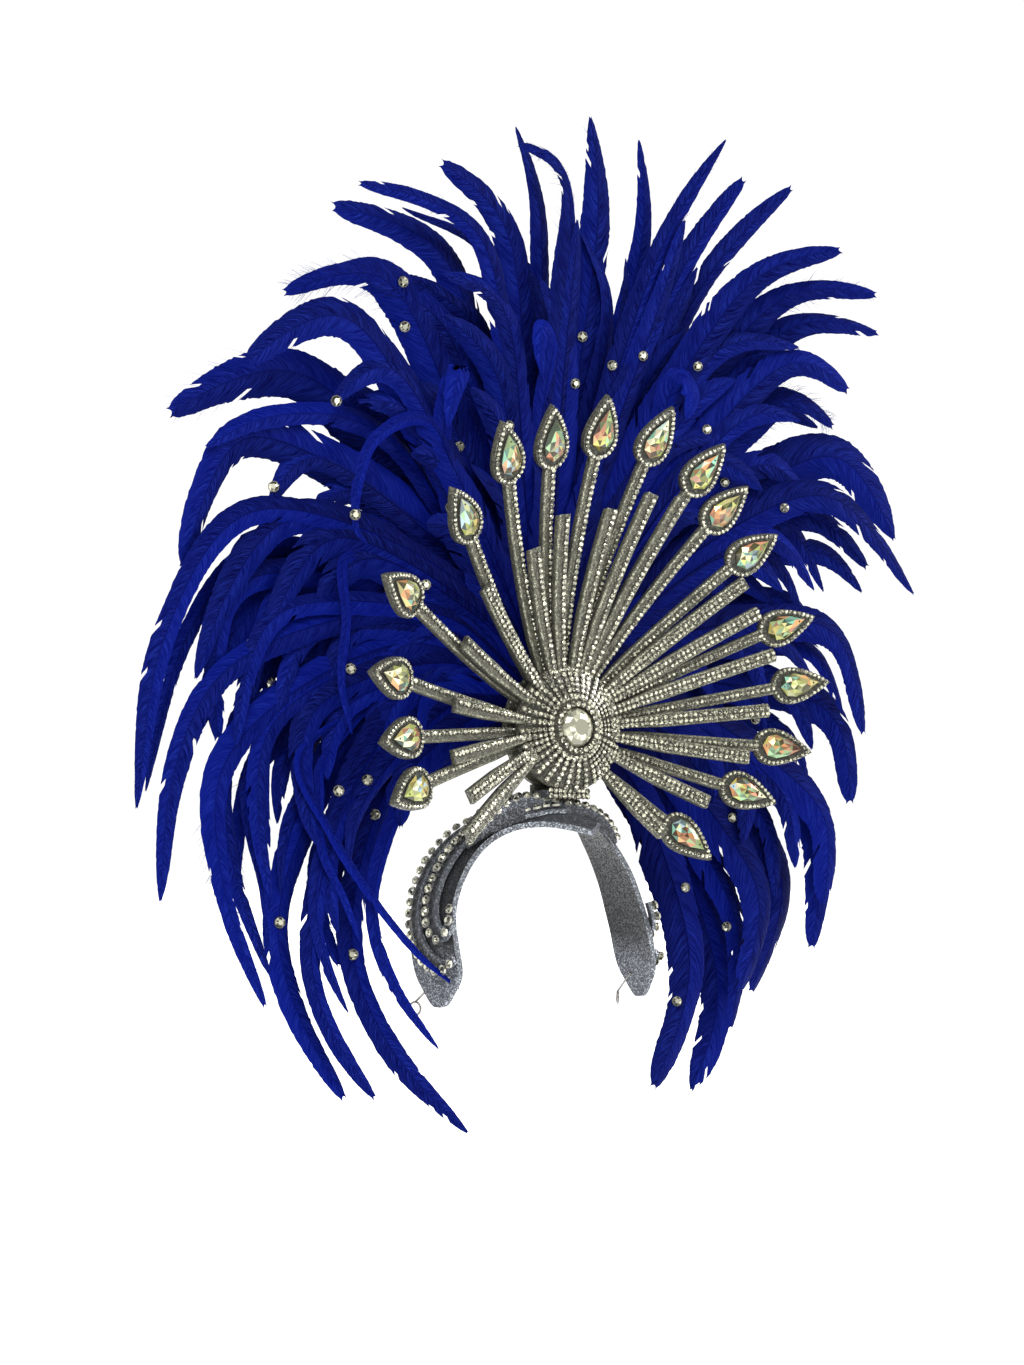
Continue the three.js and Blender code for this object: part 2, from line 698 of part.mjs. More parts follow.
// Width along a feather as a share of its full width: a narrow quill, a full vane, a blunt tip
const vaneShape = [
  { along: 0, width: 0.42 },
  { along: 0.15, width: 0.64 },
  { along: 0.34, width: 0.92 },
  { along: 0.55, width: 1 },
  { along: 0.76, width: 0.86 },
  { along: 0.91, width: 0.58 },
  { along: 1, width: 0.2 },
];

function makeFeather(row, layer, stagger) {
  const line = featherLine(row);
  const full = row.width * featherWidth;
  const face = [];
  const back = [];
  const addStation = (middle, sideways, width) => {
    const place = (edge) => {
      const x = middle.x + edge * sideways.x * width / 2;
      const z = middle.z + edge * sideways.z * width / 2;
      return [x, z, Math.hypot(middle.x, middle.z)];
    };
    const set = (y) => [-1, 1].map((edge) => {
      const [x, z, reach] = place(edge);
      const step = stagger * Math.min(1, Math.max(0, reach - ringOuter) / ringOuter);
      return new THREE.Vector3(
        x + layer.aside * bowShare(reach),
        layerFace(layer, reach) + step + y,
        hubHeight + z,
      );
    });
    face.push(set(0));
    back.push(set(featherThick));
  };
  const turn = THREE.MathUtils.degToRad(row.root);
  const start = new THREE.Vector3(Math.sin(turn), 0, Math.cos(turn));
  const across = new THREE.Vector3(start.z, 0, -start.x);
  const quill = start.clone().multiplyScalar(ringOuter - quillLength);
  addStation(quill, across, full * vaneShape[0].width * quillTaper);
  for (const { along, width } of vaneShape) {
    const ahead = line.getTangentAt(along);
    addStation(line.getPointAt(along), new THREE.Vector3(ahead.z, 0, -ahead.x), full * width);
  }
  return sheetSolid(face, back);
}

function makeFeatherLayer(layer, index) {
  const front = plateBack + seatGap + layer.depth * layerStep;
  const behind = front + layerStep - seatGap;
  const ring = toManifold(hubDisc(ringOuter - 2, front, behind, hubSides))
    .subtract(toManifold(hubDisc(ringInner, front - 1, behind + 1, hubSides)));
  const rows = feathers.filter((row, i) => i % featherLayers.length === index);
  return toGeometry(rows.reduce(
    (whole, row, i) => whole.add(toManifold(makeFeather(row, layer, layerStagger * (i % 3)))),
    ring,
  ));
}

const foam = { color: 0x74787d, roughness: 0.6, metalness: 0.35 };
const stones = { color: 0xb9b6a6, roughness: 0.3, metalness: 0.5 };
const crystal = { color: 0xcfe3d0, roughness: 0.05, metalness: 0.1 };
const plume = { color: 0x101a82, roughness: 0.6, metalness: 0 };

const group = new THREE.Group();

function addPiece(name, geometry, look) {
  const mesh = new THREE.Mesh(geometry, new THREE.MeshStandardMaterial(look));
  mesh.name = name;
  group.add(mesh);
}

const numbered = (name, i) => `${name}_${String(i + 1).padStart(2, '0')}`;

addPiece('headband', makeHeadband(), foam);
addPiece('scroll_right', makeScroll('scroll_right', -1), foam);
addPiece('scroll_left', makeScroll('scroll_left', 1), foam);
addPiece('hub', makeHub(), stones);
addPiece('centre_crystal', makeCentreCrystal(), crystal);
longSpokes.forEach((row, i) => {
  addPiece(numbered('long_spoke', i), makeLongSpoke(row), stones);
  addPiece(numbered('crystal', i), makeCrystal(row), crystal);
});
shortSpokes.forEach((row, i) => {
  addPiece(numbered('short_spoke', i), makeShortSpoke(row), stones);
});
featherLayers.forEach((layer, i) => {
  addPiece(layer.name, makeFeatherLayer(layer, i), plume);
});

export default group;
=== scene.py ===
# Showgirl feather headdress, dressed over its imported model
import bpy
import math
import random
import numpy as np
from mathutils import Matrix, Vector
from mathutils.bvhtree import BVHTree


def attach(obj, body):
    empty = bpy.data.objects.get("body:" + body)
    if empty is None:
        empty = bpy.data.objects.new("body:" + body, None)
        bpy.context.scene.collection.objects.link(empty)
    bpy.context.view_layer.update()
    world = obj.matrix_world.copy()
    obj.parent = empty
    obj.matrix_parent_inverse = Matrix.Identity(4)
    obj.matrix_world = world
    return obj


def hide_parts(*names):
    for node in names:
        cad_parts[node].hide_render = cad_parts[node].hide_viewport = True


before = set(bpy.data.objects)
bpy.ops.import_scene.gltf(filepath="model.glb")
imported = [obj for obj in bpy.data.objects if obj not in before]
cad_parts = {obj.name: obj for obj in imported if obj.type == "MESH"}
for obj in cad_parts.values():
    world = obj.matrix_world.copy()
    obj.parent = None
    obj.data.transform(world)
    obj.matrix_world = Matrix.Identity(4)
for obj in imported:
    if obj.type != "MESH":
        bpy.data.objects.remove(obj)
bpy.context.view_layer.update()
print("model loaded")

mm = 0.001
hubPoint = Vector((0, -12, 57))   # middle of the sunburst, in mm like every length below

# Camera: low at the wearer's right, looking a little up
cameraSet = {
    "turn": -35,
    "lift": -6,
    "away": 1150,
    "lens": 45.5,
    "right": 33.3,   # how far the sunburst stands right of the picture's middle, and below it
    "below": 31,
}


def addObject(name, data):
    thing = bpy.data.objects.new(name, data)
    bpy.context.collection.objects.link(thing)
    return thing


def placeCamera():
    turn = math.radians(cameraSet["turn"])
    lift = math.radians(cameraSet["lift"])
    back = Vector((math.sin(turn) * math.cos(lift), -math.cos(turn) * math.cos(lift), math.sin(lift)))
    right = (-back).cross(Vector((0, 0, 1))).normalized()
    up = right.cross(-back)
    target = hubPoint - right * cameraSet["right"] + up * cameraSet["below"]
    data = bpy.data.cameras.new("camera")
    data.lens = cameraSet["lens"]
    data.clip_start = 0.05
    camera = addObject("camera", data)
    camera.matrix_world = Matrix((right, up, back)).transposed().to_4x4()
    camera.location = (target + back * cameraSet["away"]) * mm
    bpy.context.scene.camera = camera
    return camera


camera = placeCamera()
eye = camera.location / mm


# Points, faces, slots and tones of one piece while it is being made
class Pile:
    def __init__(self):
        self.points, self.faces, self.slots, self.tones, self.uvs = [], [], [], [], []
        self.size = 0

    # tones: a grey or colour for all the points, or one for each
    def add(self, points, faces, slot=0, tones=1, uvs=None):
        points = np.asarray(points, dtype=float).reshape(-1, 3)
        self.faces += [tuple(int(i) + self.size for i in face) for face in faces]
        self.slots += slot if isinstance(slot, list) else [slot] * len(faces)
        self.points.append(points)
        self.tones.append(np.broadcast_to(np.asarray(tones, dtype=float), (len(points), 3)))
        self.uvs.append(np.zeros((len(points), 2)) if uvs is None else uvs)
        self.size += len(points)

    def facet(self, corners, tone):
        self.add(corners, [tuple(range(len(corners)))], 0, tone)


def makePiece(name, pile, materials, covers=(), smooth=False):
    mesh = bpy.data.meshes.new(name)
    mesh.from_pydata((np.concatenate(pile.points) * mm).tolist(), [], pile.faces)
    mesh.polygons.foreach_set("material_index", pile.slots)
    mesh.polygons.foreach_set("use_smooth", [smooth] * len(pile.faces))
    corners = np.zeros(len(mesh.loops), dtype=np.int32)
    mesh.loops.foreach_get("vertex_index", corners)
    tones = np.concatenate(pile.tones)
    layer = mesh.color_attributes.new("tone", "FLOAT_COLOR", "CORNER")
    layer.data.foreach_set("color", np.hstack([tones, np.ones((len(tones), 1))])[corners].ravel())
    uvMap = mesh.uv_layers.new(name="UVMap")
    uvMap.data.foreach_set("uv", np.concatenate(pile.uvs)[corners].ravel())
    for material in materials:
        mesh.materials.append(material)
    mesh.update()
    piece = addObject(name, mesh)
    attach(piece, "root")
    if covers:
        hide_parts(*covers)
    return piece


# Faces of rings of points that follow each other, with a cap at both ends
def tubeFaces(rings, sides, caps=True, flip=False):
    faces = []
    if caps:
        faces += [tuple(range(sides - 1, -1, -1)), tuple(range((rings - 1) * sides, rings * sides))]
    for i in range(rings - 1):
        for k in range(sides):
            a, b = i * sides + k, i * sides + (k + 1) % sides
            faces.append((a, b, b + sides, a + sides))
    return [(face[0], *face[:0:-1]) for face in faces] if flip else faces


# One grey for each point
def greys(values):
    return np.repeat(np.asarray(values, dtype=float)[:, None], 3, axis=1)


def unit(rows):
    return rows / np.linalg.norm(rows, axis=1)[:, None]


# Angles all round, in radians
def around(count):
    return np.linspace(0, 2 * math.pi, count, endpoint=False)


# How far along a line each of its points lies
def runOf(line):
    return np.concatenate([[0], np.cumsum(np.linalg.norm(np.diff(line, axis=0), axis=1))])


def interpRows(at, run, table):
    return [float(np.interp(at, run, column)) for column in table.T]


# Smooth line through a few points, cut into even steps of about the given length
def smoothLine(points, step):
    points = [np.asarray(p, dtype=float) for p in points]
    ends = [2 * points[0] - points[1]] + points + [2 * points[-1] - points[-2]]
    fine = []
    for i in range(1, len(ends) - 2):
        p0, p1, p2, p3 = ends[i - 1:i + 3]
        gap = [max(1e-4, np.linalg.norm(b - a) ** 0.5) for a, b in ((p0, p1), (p1, p2), (p2, p3))]
        t1 = ((p1 - p0) / gap[0] - (p2 - p0) / (gap[0] + gap[1]) + (p2 - p1) / gap[1]) * gap[1]
        t2 = ((p2 - p1) / gap[1] - (p3 - p1) / (gap[1] + gap[2]) + (p3 - p2) / gap[2]) * gap[1]
        a = -3 * p1 + 3 * p2 - 2 * t1 - t2
        b = 2 * p1 - 2 * p2 + t1 + t2
        fine += [p1 + t1 * t + a * t ** 2 + b * t ** 3 for t in np.linspace(0, 1, 40, endpoint=False)]
    fine = np.array(fine + [points[-1]])
    run = runOf(fine)
    at = np.linspace(0, run[-1], max(2, round(run[-1] / step)) + 1)
    return np.stack([np.interp(at, run, fine[:, k]) for k in range(fine.shape[1])], axis=1)


# Point by its angle from straight up, towards the wearer's left, and its reach from the hub
def polar(angle, reach, y, shift=0):
    turn = math.radians(angle)
    return Vector((
        reach * math.sin(turn) + shift * math.cos(turn),
        y,
        hubPoint.z + reach * math.cos(turn) - shift * math.sin(turn),
    ))


# Directions across, along and out of what runs away from the hub; slope: how fast its y grows
def radialFrame(angle, slope=0.0):
    turn = math.radians(angle)
    across = Vector((math.cos(turn), 0, -math.sin(turn)))
    ahead = Vector((math.sin(turn), slope, math.cos(turn))).normalized()
    return across, ahead, across.cross(ahead)


# Shader groups and materials

def newGroup(name, inputs, outputs):
    tree = bpy.data.node_groups.new(name, "ShaderNodeTree")
    for label, kind, value in inputs:
        socket = tree.interface.new_socket(label, in_out="INPUT", socket_type=kind)
        socket.default_value = value
    for label, kind in outputs:
        tree.interface.new_socket(label, in_out="OUTPUT", socket_type=kind)
    return tree, tree.nodes.new("NodeGroupInput"), tree.nodes.new("NodeGroupOutput")


# Sets or links a node's inputs, by name or number
def feed(tree, node, inputs):
    for name, value in inputs.items():
        if isinstance(value, (int, float, tuple)):
            node.inputs[name].default_value = value
        else:
            tree.links.new(value, node.inputs[name])
    return node


def addNode(tree, kind, inputs={}, **settings):
    node = tree.nodes.new("ShaderNode" + kind)
    for name, value in settings.items():
        setattr(node, name, value)
    return feed(tree, node, inputs)


def addMath(tree, operation, first, second):
    return addNode(tree, "Math", {0: first, 1: second}, operation=operation).outputs[0]


def addMix(tree, factor, first, second, blend="MIX"):
    inputs = {0: factor, 6: first, 7: second}
    return addNode(tree, "Mix", inputs, data_type="RGBA", blend_type=blend).outputs[2]


def makeGlitterGroup():
    tree, given, result = newGroup(
        "glitterSpecks",
        [("Grain", "NodeSocketFloat", 1500), ("Share", "NodeSocketFloat", 0.3),
         ("Base", "NodeSocketColor", (0.1, 0.1, 0.1, 1)), ("Fleck", "NodeSocketColor", (0.8, 0.8, 0.8, 1))],
        [("Color", "NodeSocketColor"), ("Roughness", "NodeSocketFloat"), ("Height", "NodeSocketFloat")],
    )
    base = given.outputs["Base"]
    place = addNode(tree, "TexCoord").outputs["Object"]
    cells = addNode(tree, "TexVoronoi", {"Vector": place, "Scale": given.outputs["Grain"]})
    split = addNode(tree, "SeparateColor", {0: cells.outputs["Color"]})
    lit = addMath(tree, "LESS_THAN", split.outputs[0], given.outputs["Share"])
    strength = addMath(tree, "MULTIPLY", lit, split.outputs[1])
    cloud = addNode(tree, "TexNoise", {"Vector": place, "Scale": 45, "Detail": 4})
    shade = addMix(tree, 0.55, base, addMix(tree, 1.0, base, cloud.outputs["Fac"], "MULTIPLY"))
    feed(tree, result, {
        "Color": addMix(tree, strength, shade, given.outputs["Fleck"]),
        "Roughness": addMath(tree, "SUBTRACT", 0.72, addMath(tree, "MULTIPLY", lit, 0.45)),
        "Height": addMath(tree, "ADD", split.outputs[2], strength),
    })
    return tree


def makeBarbGroup():
    tree, given, result = newGroup(
        "featherBarbs",
        [("Along", "NodeSocketFloat", 14), ("Across", "NodeSocketFloat", 1.2)],
        [("Streak", "NodeSocketFloat"), ("Height", "NodeSocketFloat")],
    )
    place = addNode(tree, "UVMap", uv_map="UVMap")
    parts = addNode(tree, "SeparateXYZ", {0: place.outputs[0]})
    joined = addNode(tree, "CombineXYZ", {
        0: addMath(tree, "MULTIPLY", parts.outputs[0], given.outputs["Along"]),
        1: addMath(tree, "MULTIPLY", parts.outputs[1], given.outputs["Across"]),
    })
    noise = {"Vector": joined.outputs[0], "Scale": 1, "Detail": 5, "Roughness": 0.7}
    fine = addNode(tree, "TexNoise", noise).outputs["Fac"]
    feed(tree, result, {"Streak": fine, "Height": fine})
    return tree


glitterSpecks = makeGlitterGroup()
featherBarbs = makeBarbGroup()


def newMaterial(name):
    material = bpy.data.materials.new(name)
    material.use_nodes = True
    return material, material.node_tree, material.node_tree.nodes["Principled BSDF"]


def addBump(tree, height, strength, distance):
    inputs = {"Height": height, "Strength": strength, "Distance": distance}
    return addNode(tree, "Bump", inputs).outputs["Normal"]


def toneOf(tree):
    return addNode(tree, "VertexColor", layer_name="tone").outputs["Color"]


glitterSet = {
    "bandBase": (0.06, 0.066, 0.078, 1),
    "bandFleck": (0.24, 0.26, 0.3, 1),
    "spokeBase": (0.07, 0.069, 0.05, 1),
    "spokeFleck": (0.26, 0.26, 0.19, 1),
    "grain": 1300,
    "share": 0.4,
    "metallic": 0.25,
    "bump": 0.35,
    "bumpDepth": 0.0003,    # in metres
}


def makeFoam(name, base, fleck):
    material, tree, shader = newMaterial(name)
    inputs = {"Grain": glitterSet["grain"], "Share": glitterSet["share"], "Base": base, "Fleck": fleck}
    specks = addNode(tree, "Group", inputs, node_tree=glitterSpecks)
    feed(tree, shader, {
        "Base Color": addMix(tree, 1.0, specks.outputs["Color"], toneOf(tree), "MULTIPLY"),
        "Roughness": specks.outputs["Roughness"],
        "Metallic": glitterSet["metallic"],
        "Normal": addBump(tree, specks.outputs["Height"], glitterSet["bump"], glitterSet["bumpDepth"]),
    })
    return material


bandFoam = makeFoam("bandFoam", glitterSet["bandBase"], glitterSet["bandFleck"])
spokeFoam = makeFoam("spokeFoam", glitterSet["spokeBase"], glitterSet["spokeFleck"])


def makeShine(name, tint, roughness, metallic, coat=0.6):
    material, tree, shader = newMaterial(name)
    feed(tree, shader, {
        "Base Color": addMix(tree, 1.0, tint, toneOf(tree), "MULTIPLY"),
        "Roughness": roughness,
        "Metallic": metallic,
        "Coat Weight": coat,
        "Coat Roughness": 0.05,
    })
    return material


clearStone = makeShine("clearStone", (0.7, 0.69, 0.54, 1), 0.1, 0.5)
silverCup = makeShine("silverCup", (0.1, 0.095, 0.07, 1), 0.35, 0.8)
brightCup = makeShine("brightCup", (0.42, 0.41, 0.36, 1), 0.3, 0.8)
rainbowStone = makeShine("rainbowStone", (1, 1, 1, 1), 0.15, 0.3, 0.08)
wireMetal = makeShine("wireMetal", (0.2, 0.19, 0.18, 1), 0.35, 1.0)

plumeSet = {
    "deep": (0.0003, 0.0006, 0.026, 1),
    "blue": (0.0008, 0.0036, 0.1, 1),
    # painted sheen: a lighter blue streaked along the barbs
    "paintedSheen": (0.017, 0.038, 0.36, 1),
    "streakFrom": 0.45,     # painted sheen: noise above this turns to the sheen colour, faster with more gain
    "streakGain": 2.2,
    "roughness": 0.5,
    "specular": 0.01,
    "bump": 0.5,
    "bumpDepth": 0.0006,    # in metres
}


def makePlume():
    material, tree, shader = newMaterial("plumeDyeAndSheen")
    barbs = addNode(tree, "Group", node_tree=featherBarbs)
    split = addNode(tree, "SeparateColor", {0: toneOf(tree)})
    ground = addMix(tree, split.outputs[0], plumeSet["deep"], plumeSet["blue"])
    streak = addMath(tree, "SUBTRACT", barbs.outputs["Streak"], plumeSet["streakFrom"])
    clamp = addNode(tree, "Clamp", {0: addMath(tree, "MULTIPLY", streak, plumeSet["streakGain"])})
    # where the painted sheen shows
    lit = addMath(tree, "MULTIPLY", clamp.outputs[0], split.outputs[1])
    feed(tree, shader, {
        "Base Color": addMix(tree, lit, ground, plumeSet["paintedSheen"]),
        "Roughness": plumeSet["roughness"],
        "Specular IOR Level": plumeSet["specular"],
        "Normal": addBump(tree, barbs.outputs["Height"], plumeSet["bump"], plumeSet["bumpDepth"]),
    })
    return material


plumeDyeAndSheen = makePlume()
print("materials made")


# Rhinestones: a metal cup with a faceted stone in it, turned by chance and set along chains
stoneSet = {
    "sides": 8,
    "cup": 1.12,        # shares of the stone's radius
    "cupHeight": 0.5,
    "girdle": 0.97,
    "table": 0.52,
    "height": 0.95,
    # facet greys of the stones and their tables, dark or bright at random: painted reflections and sparkle
    "greys": (0.01, 0.03, 0.1, 0.35, 0.8, 1.0),
    "tables": (0.08, 0.3, 0.5, 0.75, 1.0),
}


# Corners of every face, and its group: 0 the cup, 1 a side facet, 2 the table
def stoneTemplate():
    sides = stoneSet["sides"]

    def ring(radius, z, shift=0.0):
        turns = [2 * math.pi * (k + shift) / sides for k in range(sides)]
        return [(radius * math.cos(turn), radius * math.sin(turn), z) for turn in turns]

    low = ring(stoneSet["cup"], 0)
    lip = ring(stoneSet["cup"], stoneSet["cupHeight"])
    girdle = ring(stoneSet["girdle"], stoneSet["cupHeight"])
    table = ring(stoneSet["table"], stoneSet["height"], 0.5)
    corners = []
    for k in range(sides):
        n = (k + 1) % sides
        corners += [[low[k], low[n], lip[n], lip[k]], [lip[k], lip[n], girdle[n], girdle[k]],
                    [girdle[k], girdle[n], table[k]], [table[k], girdle[n], table[n]]]
    return corners + [table], [0, 0, 1, 1] * sides + [2]


stoneCorners, stoneGroups = stoneTemplate()


# stones: list of (place, across, ahead, out, radius); each facet gets a grey of its own, a painted
# reflection
def addStones(pile, stones, rng, cupSlot=0, stoneSlot=1):
    flat = np.array([corner for face in stoneCorners for corner in face])
    counts = [len(face) for face in stoneCorners]
    starts = np.cumsum([0] + counts)
    faces = [tuple(range(start, start + count)) for start, count in zip(starts, counts)]
    slots = [stoneSlot if group else cupSlot for group in stoneGroups]
    for place, across, ahead, out, radius in stones:
        spin = rng.uniform(0, math.pi / 4)
        cos, sin = math.cos(spin), math.sin(spin)
        turned = flat @ np.array([(cos, sin, 0), (-sin, cos, 0), (0, 0, 1)])
        basis = np.array([across, ahead, out], dtype=float)
        points = turned * radius @ basis + np.array(place, dtype=float)
        tones = []
        for count, group in zip(counts, stoneGroups):
            grey = 1.0 if group == 0 else rng.choice(stoneSet["greys"])
            if group == 2:
                grey = rng.choice(stoneSet["tables"])
            tones += [(grey, grey, grey * 0.97)] * count
        pile.add(points, faces, slots, tones)


# Spokes: foam strips that lean and curl forward, with chains of stones along them
spokeSet = {
    "setBack": 4,
    "lean": 0.12,
    "curl": 51,
    "start": 29.9,
    "thick": 5,
    "taper": 0.128,
    "longWidth": 8,
    "shortWidth": 9.5,
    "shortForward": 7.4,     # the short ones lie this far in front of the long ones
    "longReach": 216,
    "shortReach": 0.77 * 216,
    "round": 0.9,
    "litEdge": 0.5,          # painted highlight, a paler line along the cut edges
    "shades": [0.5, 0.5, 1.1, 1.7, 0.75, 0.75, 1.9, 1.2],    # painted light and shade round a strip's section, from the back: the back shaded, the edges lit
    "step": 5,
    "stone": 1.7,
    "chainStep": 3.55,
    "chainAside": 1.7,       # single chains run near the wearer's left edge, up to this angle
    "asideUpTo": 40,
    "overhang": 1.6,         # how far a stone may reach past the strip's edge
    "fit": 0.95,             # of half the strip's width, for the stones of a single chain
    "overlap": 5,            # a long strip runs this far in under its leaf, and its chain less far
    "chainOverlap": 2,
}

# angle and reach as a share of the full one, and the rows of stones on the short ones
longSpokes = [
    (-108, 0.78), (-95.5, 0.78), (-82, 0.835), (-64.5, 0.885), (-41, 0.865), (-26.5, 0.955), (-15, 0.96),
    (-3, 0.985), (10, 1), (23.5, 0.985), (33, 0.94), (45, 0.92), (64, 0.91), (78, 0.905), (93, 0.835),
    (106.5, 0.745), (129, 0.62),
]
shortSpokes = [
    (-127, 0.73, 1), (-118, 0.62, 2), (-103, 0.645, 1), (-85, 0.62, 1), (-63.5, 0.65, 1),
    (-44.5, 0.71, 2), (-22.5, 0.73, 1), (-11.5, 0.83, 1), (4, 0.86, 1), (14, 0.96, 1), (22, 1, 1),
    (49.5, 0.955, 2), (58, 0.945, 2), (69.5, 0.945, 2), (83.5, 0.88, 2), (97, 0.8, 2), (115, 0.675, 2),
    (136, 0.58, 2),
]


def spokeBack(reach):
    return (-spokeSet["setBack"] - spokeSet["lean"] * reach
            - spokeSet["curl"] * (reach / spokeSet["longReach"]) ** 2)


def spokeFrame(angle, reach):
    return radialFrame(angle, -spokeSet["lean"] - 2 * spokeSet["curl"] * reach / spokeSet["longReach"] ** 2)


def addStrip(pile, angle, reach, width, forward):
    stations = [*np.arange(spokeSet["start"], reach, spokeSet["step"]), reach]
    thick, edge = spokeSet["thick"], spokeSet["round"]
    lit = edge + spokeSet["litEdge"]
    points = []
    for r in stations:
        half = min(width, spokeSet["taper"] * r) / 2
        section = [(-half, 0), (half, 0), (half, thick - edge), (half - edge, thick), (half - lit, thick),
                   (-half + lit, thick), (-half + edge, thick), (-half, thick - edge)]
        points += [polar(angle, r, spokeBack(r) - forward - y, x) for x, y in section]
    # the section's painted light and shade, repeated at every station
    pile.add(points, tubeFaces(len(stations), 8), 0, greys(spokeSet["shades"] * len(stations)))


def chainOnStrip(angle, end, width, forward, rows, rng):
    stones = []
    gap, thick = spokeSet["chainStep"], spokeSet["thick"]
    for row in range(rows):
        shift = (row - (rows - 1) / 2) * gap
        if rows == 1 and angle < spokeSet["asideUpTo"]:
            shift = spokeSet["chainAside"]
        for r in np.arange(spokeSet["start"] + gap / 2, end - 1, gap):
            room = min(width, spokeSet["taper"] * r) / 2
            radius = min(spokeSet["stone"], room * spokeSet["fit"]) if rows == 1 else spokeSet["stone"]
            if abs(shift) + radius < room + spokeSet["overhang"]:
                place = polar(angle, r, spokeBack(r) - forward - thick, shift + rng.uniform(-0.15, 0.15))
                stones.append((place, *spokeFrame(angle, r), radius * rng.uniform(0.95, 1.03)))
    return stones


# Leaves and their crystals
leafSet = {
    "length": 43,
    "width": 26,
    "thick": 4.5,
    "sink": 0.2,
    "onStrip": 0.9,
    "bend": 2.5,
    "bendFrom": 10,          # leaves at wider angles bend the other way
    "bevel": 0.8,
    "shades": (0.5, 0.75, 0.3),
    "stone": 1.45,
    "stoneStep": 3.1,
    "stoneInset": 1.7,
    "crystalLength": 28,
    "crystalWidth": 16.5,
    "crystalHeight": 4.5,
    "crystalPlace": 0.42,
    "crystalBend": 0.4,      # share of the leaf's bend
    "crystalOlive": 0.4,     # how far its colours are drawn to olive
    "olive": (0.5, 0.48, 0.26),
    "holes": (0.1, 0.84),    # sewing holes near both ends
    "hole": 0.75,
}
flameShares = [0, 0.03, 0.08, 0.14, 0.2, 0.28, 0.36, 0.46, 0.56, 0.68, 0.8, 0.9, 1]


def flame(length, width, bend, inset=0.0):
    half = lambda t: width / 2 * max(0.0, math.sin(math.pi * t ** 0.62)) ** 0.85
    right = [(bend * t ** 2.5 + half(t), t * length) for t in flameShares]
    left = [(bend * t ** 2.5 - half(t), t * length) for t in reversed(flameShares[1:-1])]
    centre = np.array([0, length * 0.42])
    shrink = np.array([1 - 2 * inset / width, 1 - 2.4 * inset / length])
    return (np.array(right + left) - centre) * shrink + centre


def leafMatrix(angle, reach):
    base = reach - leafSet["length"] * leafSet["onStrip"]
    ahead = Vector((0, spokeBack(reach) - spokeBack(base), reach - base)).normalized()
    across = Vector((1, 0, 0))
    local = Matrix((across, ahead, across.cross(ahead))).transposed().to_4x4()
    local.translation = Vector((0, spokeBack(base) - leafSet["sink"], base))
    return Matrix.Translation((0, 0, hubPoint.z)) @ Matrix.Rotation(math.radians(angle), 4, "Y") @ local


def bendSide(angle):
    return -leafSet["bend"] if angle < leafSet["bendFrom"] else leafSet["bend"]


def moved(matrix, points):
    return [matrix @ Vector(p) for p in points]


def addLeaf(pile, angle, reach, rng):
    matrix = leafMatrix(angle, reach)
    thick, edge = leafSet["thick"], leafSet["bevel"]
    shape = lambda inset: flame(leafSet["length"], leafSet["width"], bendSide(angle), inset)
    rings = [(shape(0), 0), (shape(0), thick - edge), (shape(edge), thick)]
    count = len(rings[0][0])
    points = [(x, y, z) for outline, z in rings for x, y in outline]
    pile.add(moved(matrix, points), tubeFaces(3, count), 0, greys(np.repeat(leafSet["shades"], count)))
    path = shape(leafSet["stoneInset"])
    closed = np.vstack([path, path[:1]])
    run = runOf(closed)
    number = int(run[-1] / leafSet["stoneStep"])
    axes = [matrix.to_3x3() @ Vector(axis) for axis in ((1, 0, 0), (0, 1, 0), (0, 0, 1))]
    stones = []
    for k in range(number):
        x, y = interpRows(run[-1] * k / number, run, closed)
        stones.append((matrix @ Vector((x, y, thick)), *axes, leafSet["stone"] * rng.uniform(0.92, 1.05)))
    return stones


crystalColours = [
    (0.1, 0.36, 0.2), (0.3, 0.4, 0.04), (0.42, 0.36, 0.1), (0.66, 0.16, 0.03), (0.5, 0.04, 0.03),
    (0.75, 0.7, 0.5), (0.02, 0.42, 0.36), (0.06, 0.2, 0.06), (0.6, 0.46, 0.05), (0.6, 0.24, 0.1),
    (0.3, 0.05, 0.08), (0.2, 0.4, 0.6), (0.5, 0.55, 0.3), (0.34, 0.38, 0.05),
]


